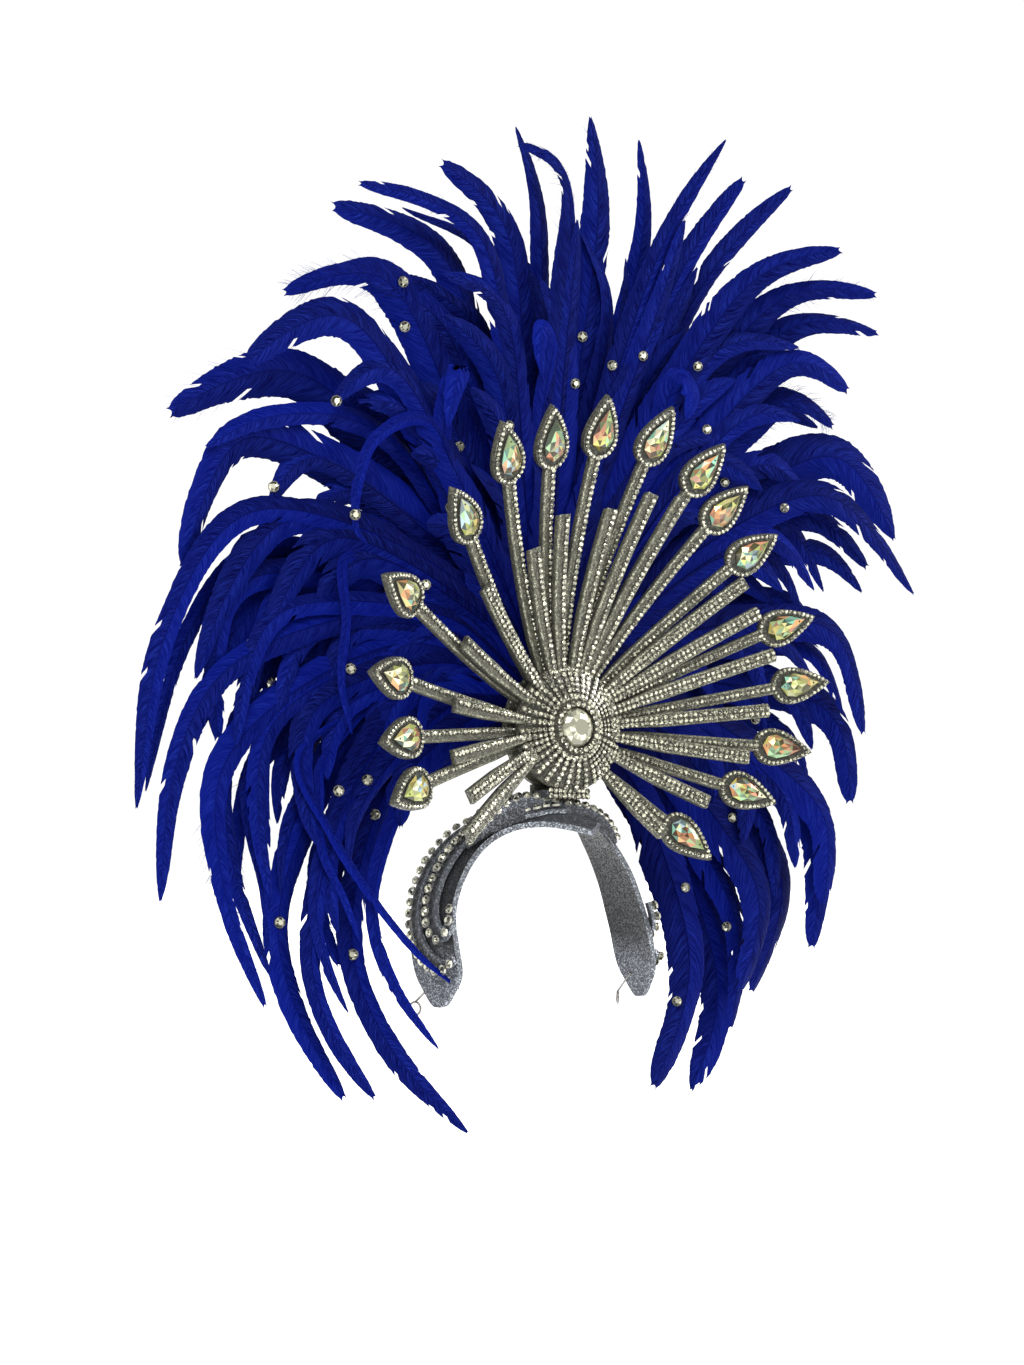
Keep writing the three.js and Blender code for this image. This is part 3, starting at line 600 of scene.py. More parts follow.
def addCrystal(pile, angle, reach, rng):
    matrix = leafMatrix(angle, reach)
    bend = bendSide(angle) * leafSet["crystalBend"]
    length, height = leafSet["crystalLength"], leafSet["crystalHeight"]
    base = (leafSet["length"] - length) * leafSet["crystalPlace"]
    level = leafSet["thick"] + 0.3
    centre = np.array([0, length * 0.4])
    outline = flame(length, leafSet["crystalWidth"], bend)[::3]
    between = (outline + np.roll(outline, -1, axis=0)) / 2
    count = len(outline)

    def ring(shape, share, z):
        return [(x, y + base, level + z) for x, y in (shape - centre) * share + centre]

    def facet(corners, tone):
        pile.facet(moved(matrix, corners), tone)

    # a facet's colour from the coat, with a lightness at random: painted reflections
    def pick(k):
        spread = rng.choice((0, 0, 1, 3))
        colour = crystalColours[(hue + k // 3 * 4 + spread) % len(crystalColours)]
        light = rng.choice((0.12, 0.35, 0.6, 0.8, 1.0))
        share = leafSet["crystalOlive"]
        return tuple((c + (o - c) * share) * light for c, o in zip(colour, leafSet["olive"]))

    low, girdle = ring(outline, 0.92, 0), ring(outline, 1, height * 0.3)
    crown, table = ring(between, 0.8, height * 0.75), ring(outline, 0.42, height)
    middle = (0.0, length * 0.42 + base, level + height * 1.02)
    hue = rng.randrange(len(crystalColours))
    for k in range(count):
        n = (k + 1) % count
        facet([low[k], low[n], girdle[n], girdle[k]], (0.3, 0.3, 0.28))
        facet([girdle[k], girdle[n], crown[k]], pick(k))
        facet([crown[k], girdle[n], crown[n]], pick(k))
        facet([crown[k], crown[n], table[n]], pick(k + 1))
        facet([crown[k], table[n], table[k]], pick(k))
    for k in range(count):
        facet([table[k], table[(k + 1) % count], middle], pick(k // 3))
    facet(low[::-1], 0.3)
    # sewing holes as near-black discs: painted shade in the holes
    for share in leafSet["holes"]:
        x, y = bend * share ** 2.5, base + length * share
        facet([(x + leafSet["hole"] * math.cos(turn), y + leafSet["hole"] * math.sin(turn),
                level + height * 0.62) for turn in around(8)], 0.02)


def makeSpokes():
    rng = random.Random(11)
    materials = [spokeFoam, silverCup, clearStone]
    for i, (angle, share) in enumerate(longSpokes, 1):
        tip = share * spokeSet["longReach"]
        leafStart = tip - leafSet["length"] * leafSet["onStrip"]
        pile = Pile()
        addStrip(pile, angle, leafStart + spokeSet["overlap"], spokeSet["longWidth"], 0)
        stones = chainOnStrip(angle, leafStart + spokeSet["chainOverlap"], spokeSet["longWidth"], 0, 1, rng)
        stones += addLeaf(pile, angle, tip, rng)
        addStones(pile, stones, rng, 1, 2)
        makePiece(f"longSpoke{i:02d}", pile, materials, [f"long_spoke_{i:02d}"])
        gem = Pile()
        addCrystal(gem, angle, tip, rng)
        makePiece(f"dropCrystal{i:02d}", gem, [rainbowStone], [f"crystal_{i:02d}"])
    for i, (angle, share, rows) in enumerate(shortSpokes, 1):
        reach = share * spokeSet["shortReach"]
        pile = Pile()
        addStrip(pile, angle, reach, spokeSet["shortWidth"], spokeSet["shortForward"])
        stones = chainOnStrip(angle, reach, spokeSet["shortWidth"], spokeSet["shortForward"], rows, rng)
        addStones(pile, stones, rng, 1, 2)
        makePiece(f"shortSpoke{i:02d}", pile, materials, [f"short_spoke_{i:02d}"])
    print("spokes, leaves and crystals made")


makeSpokes()


# Hub: ribbed boss with chains, a plain core, plate and foot behind it, and a round jewel
bossSet = {
    "radius": 42,
    "rim": 2.4,
    "rise": 7.5,
    "seat": 9,               # how far it sinks in among the spokes
    "stack": 14.8,           # thickness of both layers of strips with their gaps
    "ribHeight": 1.8,
    "halo": 18,
    "haloHeight": 3,
    "shoulder": 0.62,        # share of the rise that is left halfway down the ribs
    "jewel": 13,
    "jewelHeight": 7,
    "jewelSides": 16,
    "lowRibs": (150, 224, 12),     # from, to and step of the angles below
    "ribClear": 5,           # a long spoke has a rib of its own if no other is this near
    "ribGap": 13,            # a wider gap gets a rib in its middle
    "ledgeHalf": 17,
    "ledgeLow": 11,
    "ledgeHeight": 5,
    "stone": 1.75,
    "smallStone": 1.1,
    "firstStone": 3.4,
    "stoneStep": 3.6,
    "ledgeStep": 3.8,
    "stoneRings": ((15.6, 3, 1.9), (19.8, 0.6, 1.7)),    # radius, lift and size
    "plate": 40,
    "plateThick": 4.8,
    "plateBack": 1.1,
    "core": 29.6,
    "footHalf": 17,
    "footTop": 20,
    "footSteps": 16,
}
bossHeight = bossSet["rim"] + bossSet["rise"]
bossBack = spokeBack(bossSet["radius"]) - bossSet["stack"] + bossSet["seat"]
bossTop = bossBack - bossHeight
# where the ribs fall from the halo to the rim: radius and height above the back
bossFall = [
    (bossSet["halo"] + 1, bossHeight),
    ((bossSet["halo"] + bossSet["radius"]) / 2, bossSet["rim"] + bossSet["rise"] * bossSet["shoulder"]),
    (bossSet["radius"], bossSet["rim"]),
]
# rings of the jewel: radius, height and turn; then how light its facets are, as painted reflections
jewelRings = ((0.94, 0, 0), (1, 0.25, 0), (0.88, 0.55, 0.5), (0.68, 0.82, 0), (0.42, 1, 0.5))
jewelTones = ((0.25, 0.4, 0.55, 0.8), (0.22, 0.4, 0.6, 0.95))


# The boss carries a rib for every spoke above and beside it, and even ones below
def bossRibs():
    angles = [row[0] for row in shortSpokes] + list(range(*bossSet["lowRibs"]))
    angles += [row[0] for row in longSpokes if min(abs(row[0] - a) for a in angles) > bossSet["ribClear"]]
    angles.sort()
    return sorted(angles + [(a + n) / 2 for a, n in zip(angles, angles[1:]) if n - a > bossSet["ribGap"]])


# Turned shape about the hub's axis, its profile in radius and y; ridged rows stand up at every other angle
def addTurned(pile, profile, angles, tone, ridge=0.0, ridged=()):
    points = []
    for i, (radius, y) in enumerate(profile):
        rises = (ridge if i in ridged else 0, 0)
        points += [polar(a, radius, y - rises[k % 2]) for k, a in enumerate(angles)]
    pile.add(points, tubeFaces(len(profile), len(angles), False, True), 0, tone)


def addBlock(pile, low, high, slot, tone, edge=0.8):
    (x0, y0, z0), (x1, y1, z1) = low, high
    points = []
    for y, inset in ((y0, edge), (y0 + edge, 0), (y1 - edge, 0), (y1, edge)):
        a, b, c, d = x0 + inset, x1 - inset, z0 + inset, z1 - inset
        points += [(a, y, c), (b, y, c), (b, y, d), (a, y, d)]
    pile.add(points, tubeFaces(4, 4, True, True), slot, tone)


def addBossBody(pile):
    b = bossSet
    ribs = bossRibs()
    turns = []
    for a, n in zip(ribs, ribs[1:] + [ribs[0] + 360]):
        turns += [a, (a + n) / 2]
    haloTop = bossHeight + b["haloHeight"]
    profile = [(0.5, bossHeight), (b["jewel"] + 0.3, bossHeight), (b["jewel"] + 0.7, haloTop),
               (b["halo"] - 0.3, haloTop), bossFall[0], bossFall[1], (b["radius"] - 0.8, b["rim"]),
               (b["radius"], b["rim"] - 0.9), (b["radius"], 0.6), (b["radius"] - 0.7, 0), (0.5, 0)]
    addTurned(pile, [(r, bossBack - h) for r, h in profile], turns, 0.45, b["ribHeight"], (5, 6))
    cut = b["ledgeLow"] + b["ledgeHeight"] / 2      # the boss ends straight along the lower edge
    pile.points[0][:, 2] = np.maximum(pile.points[0][:, 2], cut)
    back = b["plateBack"]
    front = back - b["plateThick"]
    circle = np.degrees(around(48))
    addTurned(pile, [(0.5, bossBack), (b["core"], bossBack), (b["core"], front)], circle, 1.1)
    addTurned(pile, [(0.5, front), (b["plate"] - 0.8, front), (b["plate"], front + 0.8),
                     (b["plate"], back - 0.8), (b["plate"] - 0.8, back), (0.5, back)], circle, 1)
    addBlock(pile, (-b["ledgeHalf"], bossBack - b["rim"], b["ledgeLow"]),
             (b["ledgeHalf"], back - b["plateThick"] / 2, b["ledgeLow"] + b["ledgeHeight"]), 3, 0.5)
    grid = {front: [], back: []}
    for x in np.linspace(-b["footHalf"], b["footHalf"], b["footSteps"] + 1):
        low = headPoint(x, 0, bandSet["thick"] + 0.3).z
        for y, rows in grid.items():
            rows.append([Vector((x, y, z)) for z in np.linspace(low, b["footTop"], 5)])
    addSheet(pile, grid[front], grid[back], 0.9, 0.8)


def addBossStones(pile, rng):
    b = bossSet
    radii, heights = zip(*bossFall)
    fall = lambda r: float(np.interp(r, radii, heights))
    stones = []
    ribs = bossRibs()
    near = [ribs[-1] - 360] + ribs + [ribs[0] + 360]
    for before, angle, after in zip(near, ribs, near[2:]):
        gap = math.radians(min(angle - before, after - angle))
        for r in np.arange(b["halo"] + b["firstStone"], b["radius"] + 1, b["stoneStep"]):
            place = polar(angle, r, bossBack - fall(r) - b["ribHeight"] + 0.3)
            if place.z > b["ledgeLow"] + b["ledgeHeight"]:
                size = max(min(b["stone"], 0.5 * r * gap / stoneSet["cup"]), b["smallStone"])
                stones.append((place, *radialFrame(angle, (fall(r - 1) - fall(r + 1)) / 2), size))
    for radius, lift, size in b["stoneRings"]:
        for angle in np.degrees(around(int(2 * math.pi * radius / (2.15 * size)))):
            stones.append((polar(angle, radius, bossTop - lift), *radialFrame(angle), size))
    for row in range(2):       # straight strip along the lower edge
        z = b["ledgeLow"] + b["ledgeHeight"] / 2 + (row - 0.4) * b["stoneStep"]
        for x in np.arange(2 - b["ledgeHalf"], b["ledgeHalf"] - 1, b["ledgeStep"]):
            stones.append((Vector((x, bossBack - b["rim"] - 0.1, z)), *radialFrame(0), b["stone"]))
    addStones(pile, stones, rng, 1, 2)


def addJewel(pile, rng):
    sides = bossSet["jewelSides"]

    def facet(corners, grey):
        pile.facet(corners, (grey, grey, grey * 0.95))

    rings = []
    for radius, height, turn in jewelRings:
        y = bossTop - 0.3 - height * bossSet["jewelHeight"]
        rings.append([polar(360 * (k + turn) / sides, radius * bossSet["jewel"], y) for k in range(sides)])
    # each facet painted a grey of its own: painted reflections in the clear jewel
    for level, (low, high) in enumerate(zip(rings, rings[1:])):
        for k in range(sides):
            n = (k + 1) % sides
            if level == 0:
                facet([low[k], low[n], high[n], high[k]], rng.uniform(0.12, 0.35))
            else:
                pair = (([low[k], low[n], high[k]], [high[k], low[n], high[n]]) if level % 2 else
                        ([low[k], high[n], high[k]], [low[k], low[n], high[n]]))
                for corners in pair:
                    facet(corners, rng.choice(jewelTones[level % 2]))
    facet(rings[-1], 0.42)


def makeBoss():
    rng = random.Random(5)
    pile = Pile()
    addBossBody(pile)
    addBossStones(pile, rng)
    makePiece("hubBoss", pile, [spokeFoam, silverCup, clearStone, bandFoam], ["hub"])
    jewel = Pile()
    addJewel(jewel, rng)
    makePiece("centreJewel", jewel, [clearStone], ["centre_crystal"])
    print("boss made")


# Headband and scrolls
bandSet = {
    "headHalfWidth": 79,
    "crownRise": 88,
    "headHalfLength": 135,
    "headCentreY": 35,
    "sideArc": 168,
    "width": 40,
    "thick": 4,
    "step": 1.5,                   # between sections, in hundredths of the side's arc
    "columns": 12,
    "edge": (1.45, 1.45, 1.4),     # the cut edge is paler than the glitter face
    "shadeAt": (0.1, 0.2, 0.74, 0.86),       # the tabs catch the light, the strip under the ribbons doesn't
    "shades": (0.5, 0.12, 0.14, 1.15),
}
# along the side, rear and front edge, as shares of the side's arc and of the width
bandSections = [
    (0, 0.4, -1.12), (0.06, 0.41, -0.92), (0.14, 0.46, -0.52), (0.24, 0.65, -0.15), (0.36, 0.92, 0.02),
    (0.48, 1.05, 0.04), (0.62, 1.1, 0), (0.76, 1, -0.17), (0.86, 0.86, -0.25), (0.94, 0.58, -0.08),
    (0.98, 0.4, 0.06), (0.993, 0.3, 0.17),
]


def crownTable():
    turn = np.linspace(0, math.pi / 2, 400)
    x = bandSet["headHalfWidth"] * np.sin(turn)
    z = bandSet["crownRise"] * np.cos(turn)
    return runOf(np.stack([x, z], axis=1)), x, z


crownRun, crownX, crownZ = crownTable()


# Point over the head: distance from the crown along its curve, y, and lift off the head
def headPoint(distance, y, lift):
    side = -1 if distance < 0 else 1
    along = abs(distance)
    x = float(np.interp(along, crownRun, crownX))
    height = float(np.interp(along, crownRun, crownZ))
    below = max(0.0, along - crownRun[-1])
    normal = Vector((x / bandSet["headHalfWidth"] ** 2, height / bandSet["crownRise"] ** 2)).normalized()
    swell = lambda at: math.sqrt(1 - ((at - bandSet["headCentreY"]) / bandSet["headHalfLength"]) ** 2)
    share = swell(y) / swell(0)
    return Vector((side * (x * share + normal.x * lift), y,
                   height * share - bandSet["crownRise"] - below + normal.y * lift))


# Closed sheet between two grids of points, with tones for its faces and its cut edge
def addSheet(pile, face, back, faceTones=1, edgeTone=1):
    rows, columns = len(face), len(face[0])
    size = rows * columns
    faces = []
    for r in range(rows - 1):
        for c in range(columns - 1):
            a = r * columns + c
            faces.append((a, a + columns, a + columns + 1, a + 1))
            faces.append((size + a, size + a + 1, size + a + columns + 1, size + a + columns))
    pile.add([p for row in [*face, *back] for p in row], faces, 0, faceTones)
    rim = [(0, c) for c in range(columns)] + [(r, columns - 1) for r in range(1, rows)]
    rim += [(rows - 1, c) for c in range(columns - 2, -1, -1)] + [(r, 0) for r in range(rows - 2, 0, -1)]
    edge = [grid[r][c] for grid in (face, back) for r, c in rim]
    pile.add(edge, tubeFaces(2, len(rim), False), 0, edgeTone)


def makeHeadband():
    half = list(smoothLine([np.array(row) * 100 for row in bandSections], bandSet["step"]) / 100)
    sections = [(-along, rear, front) for along, rear, front in half[:0:-1]] + half
    width, count = bandSet["width"], bandSet["columns"] + 1
    face, back = ([[headPoint(along * bandSet["sideArc"], y, lift)
                    for y in np.linspace(width * front, width * rear, count)]
                   for along, rear, front in sections] for lift in (bandSet["thick"], 0))
    shades = np.interp([abs(row[0]) for row in sections], bandSet["shadeAt"], bandSet["shades"])
    pile = Pile()
    addSheet(pile, face, back, greys(np.tile(np.repeat(shades, count), 2)), bandSet["edge"])
    makePiece("foamBand", pile, [bandFoam], ["headband"])


scrollSet = {
    "thick": 3,
    "width": 10,
    "slim": 0.85,            # the foam's share of that width
    "dome": (0, 0.35, 0.5, 0.35, 0),
    "shades": [1.5, 0.45, 0.4, 0.6, 1.6],          # light edges, dark middle
    "gap": 0.45,
    "innerLift": 0.4,
    "frontLift": 0.2,
    "outerAside": 0.62,      # how far off the ribbon's middle the stones sit
    "innerAside": 0.55,
    "stone": 2.9,
    "stoneStep": 6.4,
    "frontStep": 6.5,
    "stoneLift": 1.2,
    "crest": 2.4,
    # painted light and shade up a crest, from its foot by the head to its top: shaded low, lit at the top
    "crestShades": [0.2, 0.35, 0.6, 1.5],
    "step": 2.5,
}
# along the side's arc, across the band and width, all as shares
outerRibbon = [
    (0.235, 0.3, 0.9), (0.3, 0.68, 1), (0.4, 0.87, 1.05), (0.51, 0.93, 1.05), (0.61, 0.9, 1.05),
    (0.7, 0.78, 1.05), (0.77, 0.56, 1.05), (0.82, 0.28, 1.05), (0.835, 0, 0.95), (0.81, -0.22, 0.6),
]
innerRibbon = [
    (0.175, -0.12, 0.85), (0.24, 0.2, 1), (0.32, 0.36, 1), (0.42, 0.42, 1.05), (0.53, 0.45, 1.1),
    (0.63, 0.4, 1.1), (0.7, 0.24, 1.1), (0.725, 0.04, 0.95), (0.68, -0.1, 0.75), (0.615, -0.06, 0.55),
]
frontStrips = {
    "right": [(0.19, -0.06, 0.85), (0.13, -0.26, 0.7), (0.06, -0.31, 0.65), (0, -0.38, 0.5)],
    "left": [(0.19, -0.06, 0.85), (0.14, -0.25, 0.7), (0.09, -0.25, 0.6)],
}


def addRibbon(pile, table, sign, lift, aside, rng, step):
    places = [(along * bandSet["sideArc"], across * bandSet["width"], width * scrollSet["width"])
              for along, across, width in table]
    line = smoothLine(places, scrollSet["step"])
    ahead = unit(np.gradient(line[:, :2], axis=0))
    face, back = [], []
    for (along, across, width), (ax, ay) in zip(line, ahead):
        half = scrollSet["slim"] * width / 2
        edges = [(along - e * ay * half, across + e * ax * half) for e in (-1, -0.5, 0, 0.5, 1)]
        face.append([headPoint(sign * u, v, lift + scrollSet["thick"] - 0.5 + rise)
                     for (u, v), rise in zip(edges, scrollSet["dome"])])
        back.append([headPoint(sign * u, v, lift) for u, v in edges])
    addSheet(pile, face, back, greys(scrollSet["shades"] * 2 * len(line)), bandSet["edge"])
    run = runOf(line[:, :2])
    stones = []
    for at in np.arange(step / 2, run[-1] - 1, step):
        along, across, width, ax, ay = interpRows(at, run, np.hstack([line, ahead]))
        u, v = along - aside * width / 2 * ay, across + aside * width / 2 * ax
        foot = headPoint(sign * u, v, lift)
        top = headPoint(sign * u, v, lift + scrollSet["thick"] + scrollSet["stoneLift"])
        out = (headPoint(sign * u, v, lift + 10) - foot).normalized()
        side = (headPoint(sign * (u + ax), v + ay, lift) - foot).normalized().cross(out).normalized()
        stones.append((top, side, out.cross(side), out, scrollSet["stone"] * rng.uniform(0.92, 1.05)))
    return stones


# Foam strips that stand on edge over the crown, with stones on top: distance, y and height off the head
crests = {
    "right": [
        [(64, 10, 6), (54, 4, 11), (44, -2, 15), (34, -7, 19), (24, -10, 19), (12, -11, 14), (0, -11, 11)],
        [(62, 22, 6), (52, 17, 11), (40, 12, 15), (28, 8, 17), (18, 6, 14)],
    ],
    "left": [
        [(0, -12, 10), (12, -13, 11), (24, -12, 11), (36, -9, 10), (46, -6, 8), (56, -2, 5)],
        [(18, 6, 12), (30, 6, 11), (42, 8, 9), (54, 12, 5)],
    ],
}


def addCrest(pile, table, sign, rng):
    line = smoothLine(table, scrollSet["step"])
    half = scrollSet["crest"] / 2
    face, back = ([[headPoint(sign * u, v + y, lift) for lift in np.linspace(1, top, 4)]
                   for u, v, top in line] for y in (-half, half))
    addSheet(pile, face, back, greys(scrollSet["crestShades"] * 2 * len(line)), bandSet["edge"])
    stones = []
    run = runOf(line)
    for at in np.arange(scrollSet["stoneStep"] / 2, run[-1] - 1, scrollSet["stoneStep"]):
        u, v, top = interpRows(at, run, line)
        rise = headPoint(sign * u, v, top + 10) - headPoint(sign * u, v, top)
        out = (rise.normalized() + Vector((0, -0.7, 0))).normalized()
        side = Vector((1, 0, 0)).cross(out).normalized()
        place = headPoint(sign * u, v - half, top + 0.2)
        stones.append((place, side.cross(out), side, out, scrollSet["stone"] * rng.uniform(0.85, 1)))
    return stones


def makeScrolls():
    rng = random.Random(3)
    step = scrollSet["stoneStep"]
    for name, sign in (("right", -1), ("left", 1)):
        pile = Pile()
        lift = bandSet["thick"] + scrollSet["gap"]
        stones = addRibbon(pile, outerRibbon, sign, lift, scrollSet["outerAside"], rng, step)
        stones += addRibbon(pile, innerRibbon, sign, lift + scrollSet["innerLift"],
                            scrollSet["innerAside"], rng, step)
        stones += addRibbon(pile, frontStrips[name], sign, lift + scrollSet["frontLift"],
                            0, rng, scrollSet["frontStep"])
        for table in crests[name]:
            stones += addCrest(pile, table, sign, rng)
        addStones(pile, stones, rng, 1, 2)
        makePiece(f"{name}Scroll", pile, [bandFoam, brightCup, clearStone], [f"scroll_{name}"])
    print("headband and scrolls made")


# Little wire loops behind the ear tabs, for a tie; a stem holds each in the foam
loopSet = {
    "radius": 4.2,
    "wire": 0.8,
    "corners": 24,
    "centre": (84, 36, -126),
    "stemEnd": (80.5, 17, -108),
}


def addWire(pile, path, radius):
    points = []
    for k, place in enumerate(path):
        ahead = (path[min(k + 1, len(path) - 1)] - path[max(k - 1, 0)]).normalized()
        side = ahead.cross(Vector((1, 0, 0))).normalized()
        up = side.cross(ahead)
        points += [place + (side * math.cos(a) + up * math.sin(a)) * radius for a in around(8)]
    pile.add(points, tubeFaces(len(path), 8))


def makeTieLoops():
    pile = Pile()
    radius, wire = loopSet["radius"], loopSet["wire"]
    x, y, z = loopSet["centre"]
    endX, endY, endZ = loopSet["stemEnd"]
    for side in (-1, 1):
        loop = []
        for turn in np.linspace(0, 2 * math.pi, loopSet["corners"] + 1):
            sway = radius * math.sin(turn)
            loop.append(Vector((side * (x + 0.5 * sway), y + 0.8 * sway, z + radius * math.cos(turn))))
        addWire(pile, loop, wire)
        addWire(pile, [loop[0], Vector((side * endX, endY, endZ))], wire)
    makePiece("tieLoops", pile, [wireMetal], smooth=True)
    print("tie loops made")


makeHeadband()
makeScrolls()
makeTieLoops()
makeBoss()


# Feathers: a shaft with barbs swept forward on both sides, split here and there
fanSet = {
    "reach": 400,
    "width": 30,
    "fillWidth": 25,
    "ring": 46,
    "plateBack": 1.4,
    "layerStep": 5,
    "bowLength": 45,
    "droop": 88,
    "elbow": 1.015,
    "even": 12,
    "bows": {"front": 19, "middle": 26, "back": 33},
    "depths": {"front": 0, "middle": 1, "back": 2},
    "asides": {"front": -6, "middle": 3, "back": 11},
    "fills": ((0.86, 0.95), (0.74, 1.1), (0.62, 1.2), (0.48, 1.25), (0.36, 1.1)),    # reach and width
    "fillUpTo": 78,
    "fillTone": 0.8,
}
# Painted sheen: the side nearer the camera is painted lighter than the top, as if it caught more light; it
# also shows gaps
sideSet = {
    "sheenUpTo": -30,
    "sideSheen": (0.35, 1),
    "topSheen": (0.05, 0.5),
    "narrowUpTo": -35,
    "narrow": 0.68,
}
vaneSet = {
    "pitch": 2.4,
    "columns": (0, 0.3, 0.58, 0.82, 1),
    "sweep": 1.5,
    "camber": 0.26,
    "jag": 0.02,
    "slitOpen": 1.4,
    "slitLength": 6,
    "shaft": 1.0,
    "halves": 0.5,          # painted light and shade: how much lighter one half of a vane is than the other
    "hair": 0.22,
    "past": 6,              # steps that the barbs may reach past the tip
    "frayHairs": 90,
}
# width along a feather as a share of its full width; both kinds start the same
vaneStart = [(0, 0.3), (0.1, 0.55), (0.25, 0.86), (0.4, 1), (0.55, 0.98)]
vaneShape = {
    "pointed": vaneStart + [(0.7, 0.9), (0.82, 0.78), (0.9, 0.62), (0.95, 0.45), (0.985, 0.24), (1, 0.08)],
    "blunt": vaneStart + [(0.7, 0.86), (0.82, 0.72), (0.91, 0.6), (0.96, 0.48), (0.99, 0.32), (1, 0.18)],
}
pointedRows = (0, 1, 9, 11, 12, 20, 22, 23, 24, 32, 33, 35, 44)      # of the table below; the rest is blunt

# root, knee, kneeReach, tip, tipReach, width, and fray for those with a ragged end
featherRows = [
    (-94, -131, 0.43, -157, 0.555, 0.4, 0), (-86, -132, 0.505, -164, 0.67, 0.7, 0),
    (-78, -118, 0.495, -133, 0.555, 0.6, 0.5), (-71, -129, 0.575, -148.5, 0.67, 0.7, 0),
    (-65, -120, 0.59, -144, 0.705, 0.85, 0), (-59, -95, 0.535, -114, 0.65, 0.6, 0.5),
    (-55, -97, 0.6, -128.5, 0.685, 0.65, 0.6), (-51, -94, 0.59, -125.5, 0.655, 0.55, 0),
    (-47, -69, 0.565, -79, 0.63, 0.9, 0.3), (-42, -84, 0.6, -111, 0.765, 0.58, 0),
    (-37, -72, 0.625, -93.5, 0.62, 0.75, 0), (-33, -66, 0.62, -99, 0.765, 0.55, 0),
    (-29, -62, 0.64, -101, 0.765, 0.55, 0), (-25, -55, 0.725, -73, 0.72, 1.15, 0),
    (-20, -43, 0.73, -60, 0.857, 1.3, 0.3), (-16, -34, 0.745, -49, 0.785, 1.15, 0),
    (-12, -27, 0.78, -41, 0.84, 1.25, 0.8), (-8, -18, 0.795, -32, 0.925, 1.1, 0),
    (-4.5, -13, 0.8, -28.5, 0.915, 0.6, 0.3), (-1, -9.5, 0.82, -18.5, 0.93, 1, 0),
    (2, -5.5, 0.865, -10, 0.995, 0.75, 0), (5, -2.5, 0.91, -9, 0.945, 0.95, 0.6),
    (8, 2.5, 0.86, -1.5, 1.015, 0.95, 0), (11, 9, 0.87, 4.5, 1.02, 0.65, 0),
    (13.5, 12, 0.87, 14, 1.055, 0.75, 0.3), (16, 15.5, 0.85, 17.5, 1.03, 0.85, 0),
    (18.5, 19, 0.88, 22.5, 1.08, 0.85, 0), (21, 24.5, 0.89, 31, 1.035, 1, 0),
    (24, 28.5, 0.91, 37, 1.045, 1.05, 0.6), (27, 31.5, 0.9, 40, 1.02, 1, 0),
    (30, 35, 0.845, 43, 0.895, 1, 0), (33, 37.5, 0.8, 45, 0.845, 1.5, 0.8),
    (37, 48, 0.83, 62, 0.865, 1.4, 0), (41, 52, 0.755, 70, 0.85, 1, 0), (45, 53, 0.715, 64, 0.785, 1, 0),
    (49, 58, 0.71, 67, 0.77, 0.8, 0), (54, 71, 0.67, 88, 0.705, 1.1, 0), (59, 72, 0.62, 84, 0.67, 1, 0),
    (64, 84, 0.655, 98.5, 0.695, 1.1, 0), (70, 101, 0.625, 116, 0.67, 1.3, 0),
    (76, 102, 0.61, 123, 0.685, 1.05, 0), (82, 113, 0.58, 135.5, 0.635, 1.6, 0.3),
    (88, 119, 0.54, 137, 0.605, 1.35, 0), (94, 126, 0.52, 143, 0.64, 0.95, 0),
    (100, 138, 0.565, 155, 0.68, 1.15, 0), (106, 139, 0.48, 161, 0.63, 1.3, 0),
    (112, 131, 0.425, 151, 0.555, 0.9, 0),
]
layerNames = ["front", "middle", "back"]


def bowShare(reach):
    return 1 - math.exp(-max(0.0, reach - fanSet["ring"]) / fanSet["bowLength"])


def onLayer(layer, x, z, lift=0.0):
    reach = math.hypot(x, z)
    share = bowShare(reach)
    droop = fanSet["droop"] * max(0.0, reach ** 2 - fanSet["ring"] ** 2) / fanSet["reach"] ** 2
    y = fanSet["plateBack"] + fanSet["depths"][layer] * fanSet["layerStep"]
    y += fanSet["bows"][layer] * share - droop + lift
    return x + fanSet["asides"][layer] * share, y, hubPoint.z + z


# Takes the kinks out of a line, its ends stay
def evened(line, reach):
    weights = np.hanning(2 * reach + 3)[1:-1]
    weights /= weights.sum()
    before = 2 * line[0] - line[reach:0:-1]
    after = 2 * line[-1] - line[-2:-reach - 2:-1]
    long = np.vstack([before, line, after])
    return np.stack([np.convolve(long[:, k], weights, "valid") for k in range(line.shape[1])], axis=1)


def fanLine(root, knee, kneeReach, tip, tipReach, layer, lift=0.0):
    near, far = kneeReach * fanSet["reach"], tipReach * fanSet["reach"]
    places = [(root, fanSet["ring"] - 12), (root, fanSet["ring"]),
              (root + 0.12 * (knee - root), 0.45 * near), (knee, near),
              ((knee + tip) / 2, fanSet["elbow"] * (near + far) / 2), (tip, far)]
    flat = [(reach * math.sin(math.radians(angle)), reach * math.cos(math.radians(angle)))
            for angle, reach in places]
    line = evened(smoothLine(flat, vaneSet["pitch"]), fanSet["even"])
    return np.array([onLayer(layer, x, z, lift) for x, z in line])


# Directions along, across and out of a feather at every point of its line
def featherFrame(line, roll, rollTip):
    ahead = unit(np.gradient(line, axis=0))
    across = unit(np.cross(ahead, np.array([0, -1, 0])))
    front = np.cross(across, ahead)
    share = np.linspace(0, 1, len(line))
    turn = np.radians(roll + rollTip * share ** 2)[:, None]
    return ahead, across * np.cos(turn) + front * np.sin(turn), front * np.cos(turn) - across * np.sin(turn)
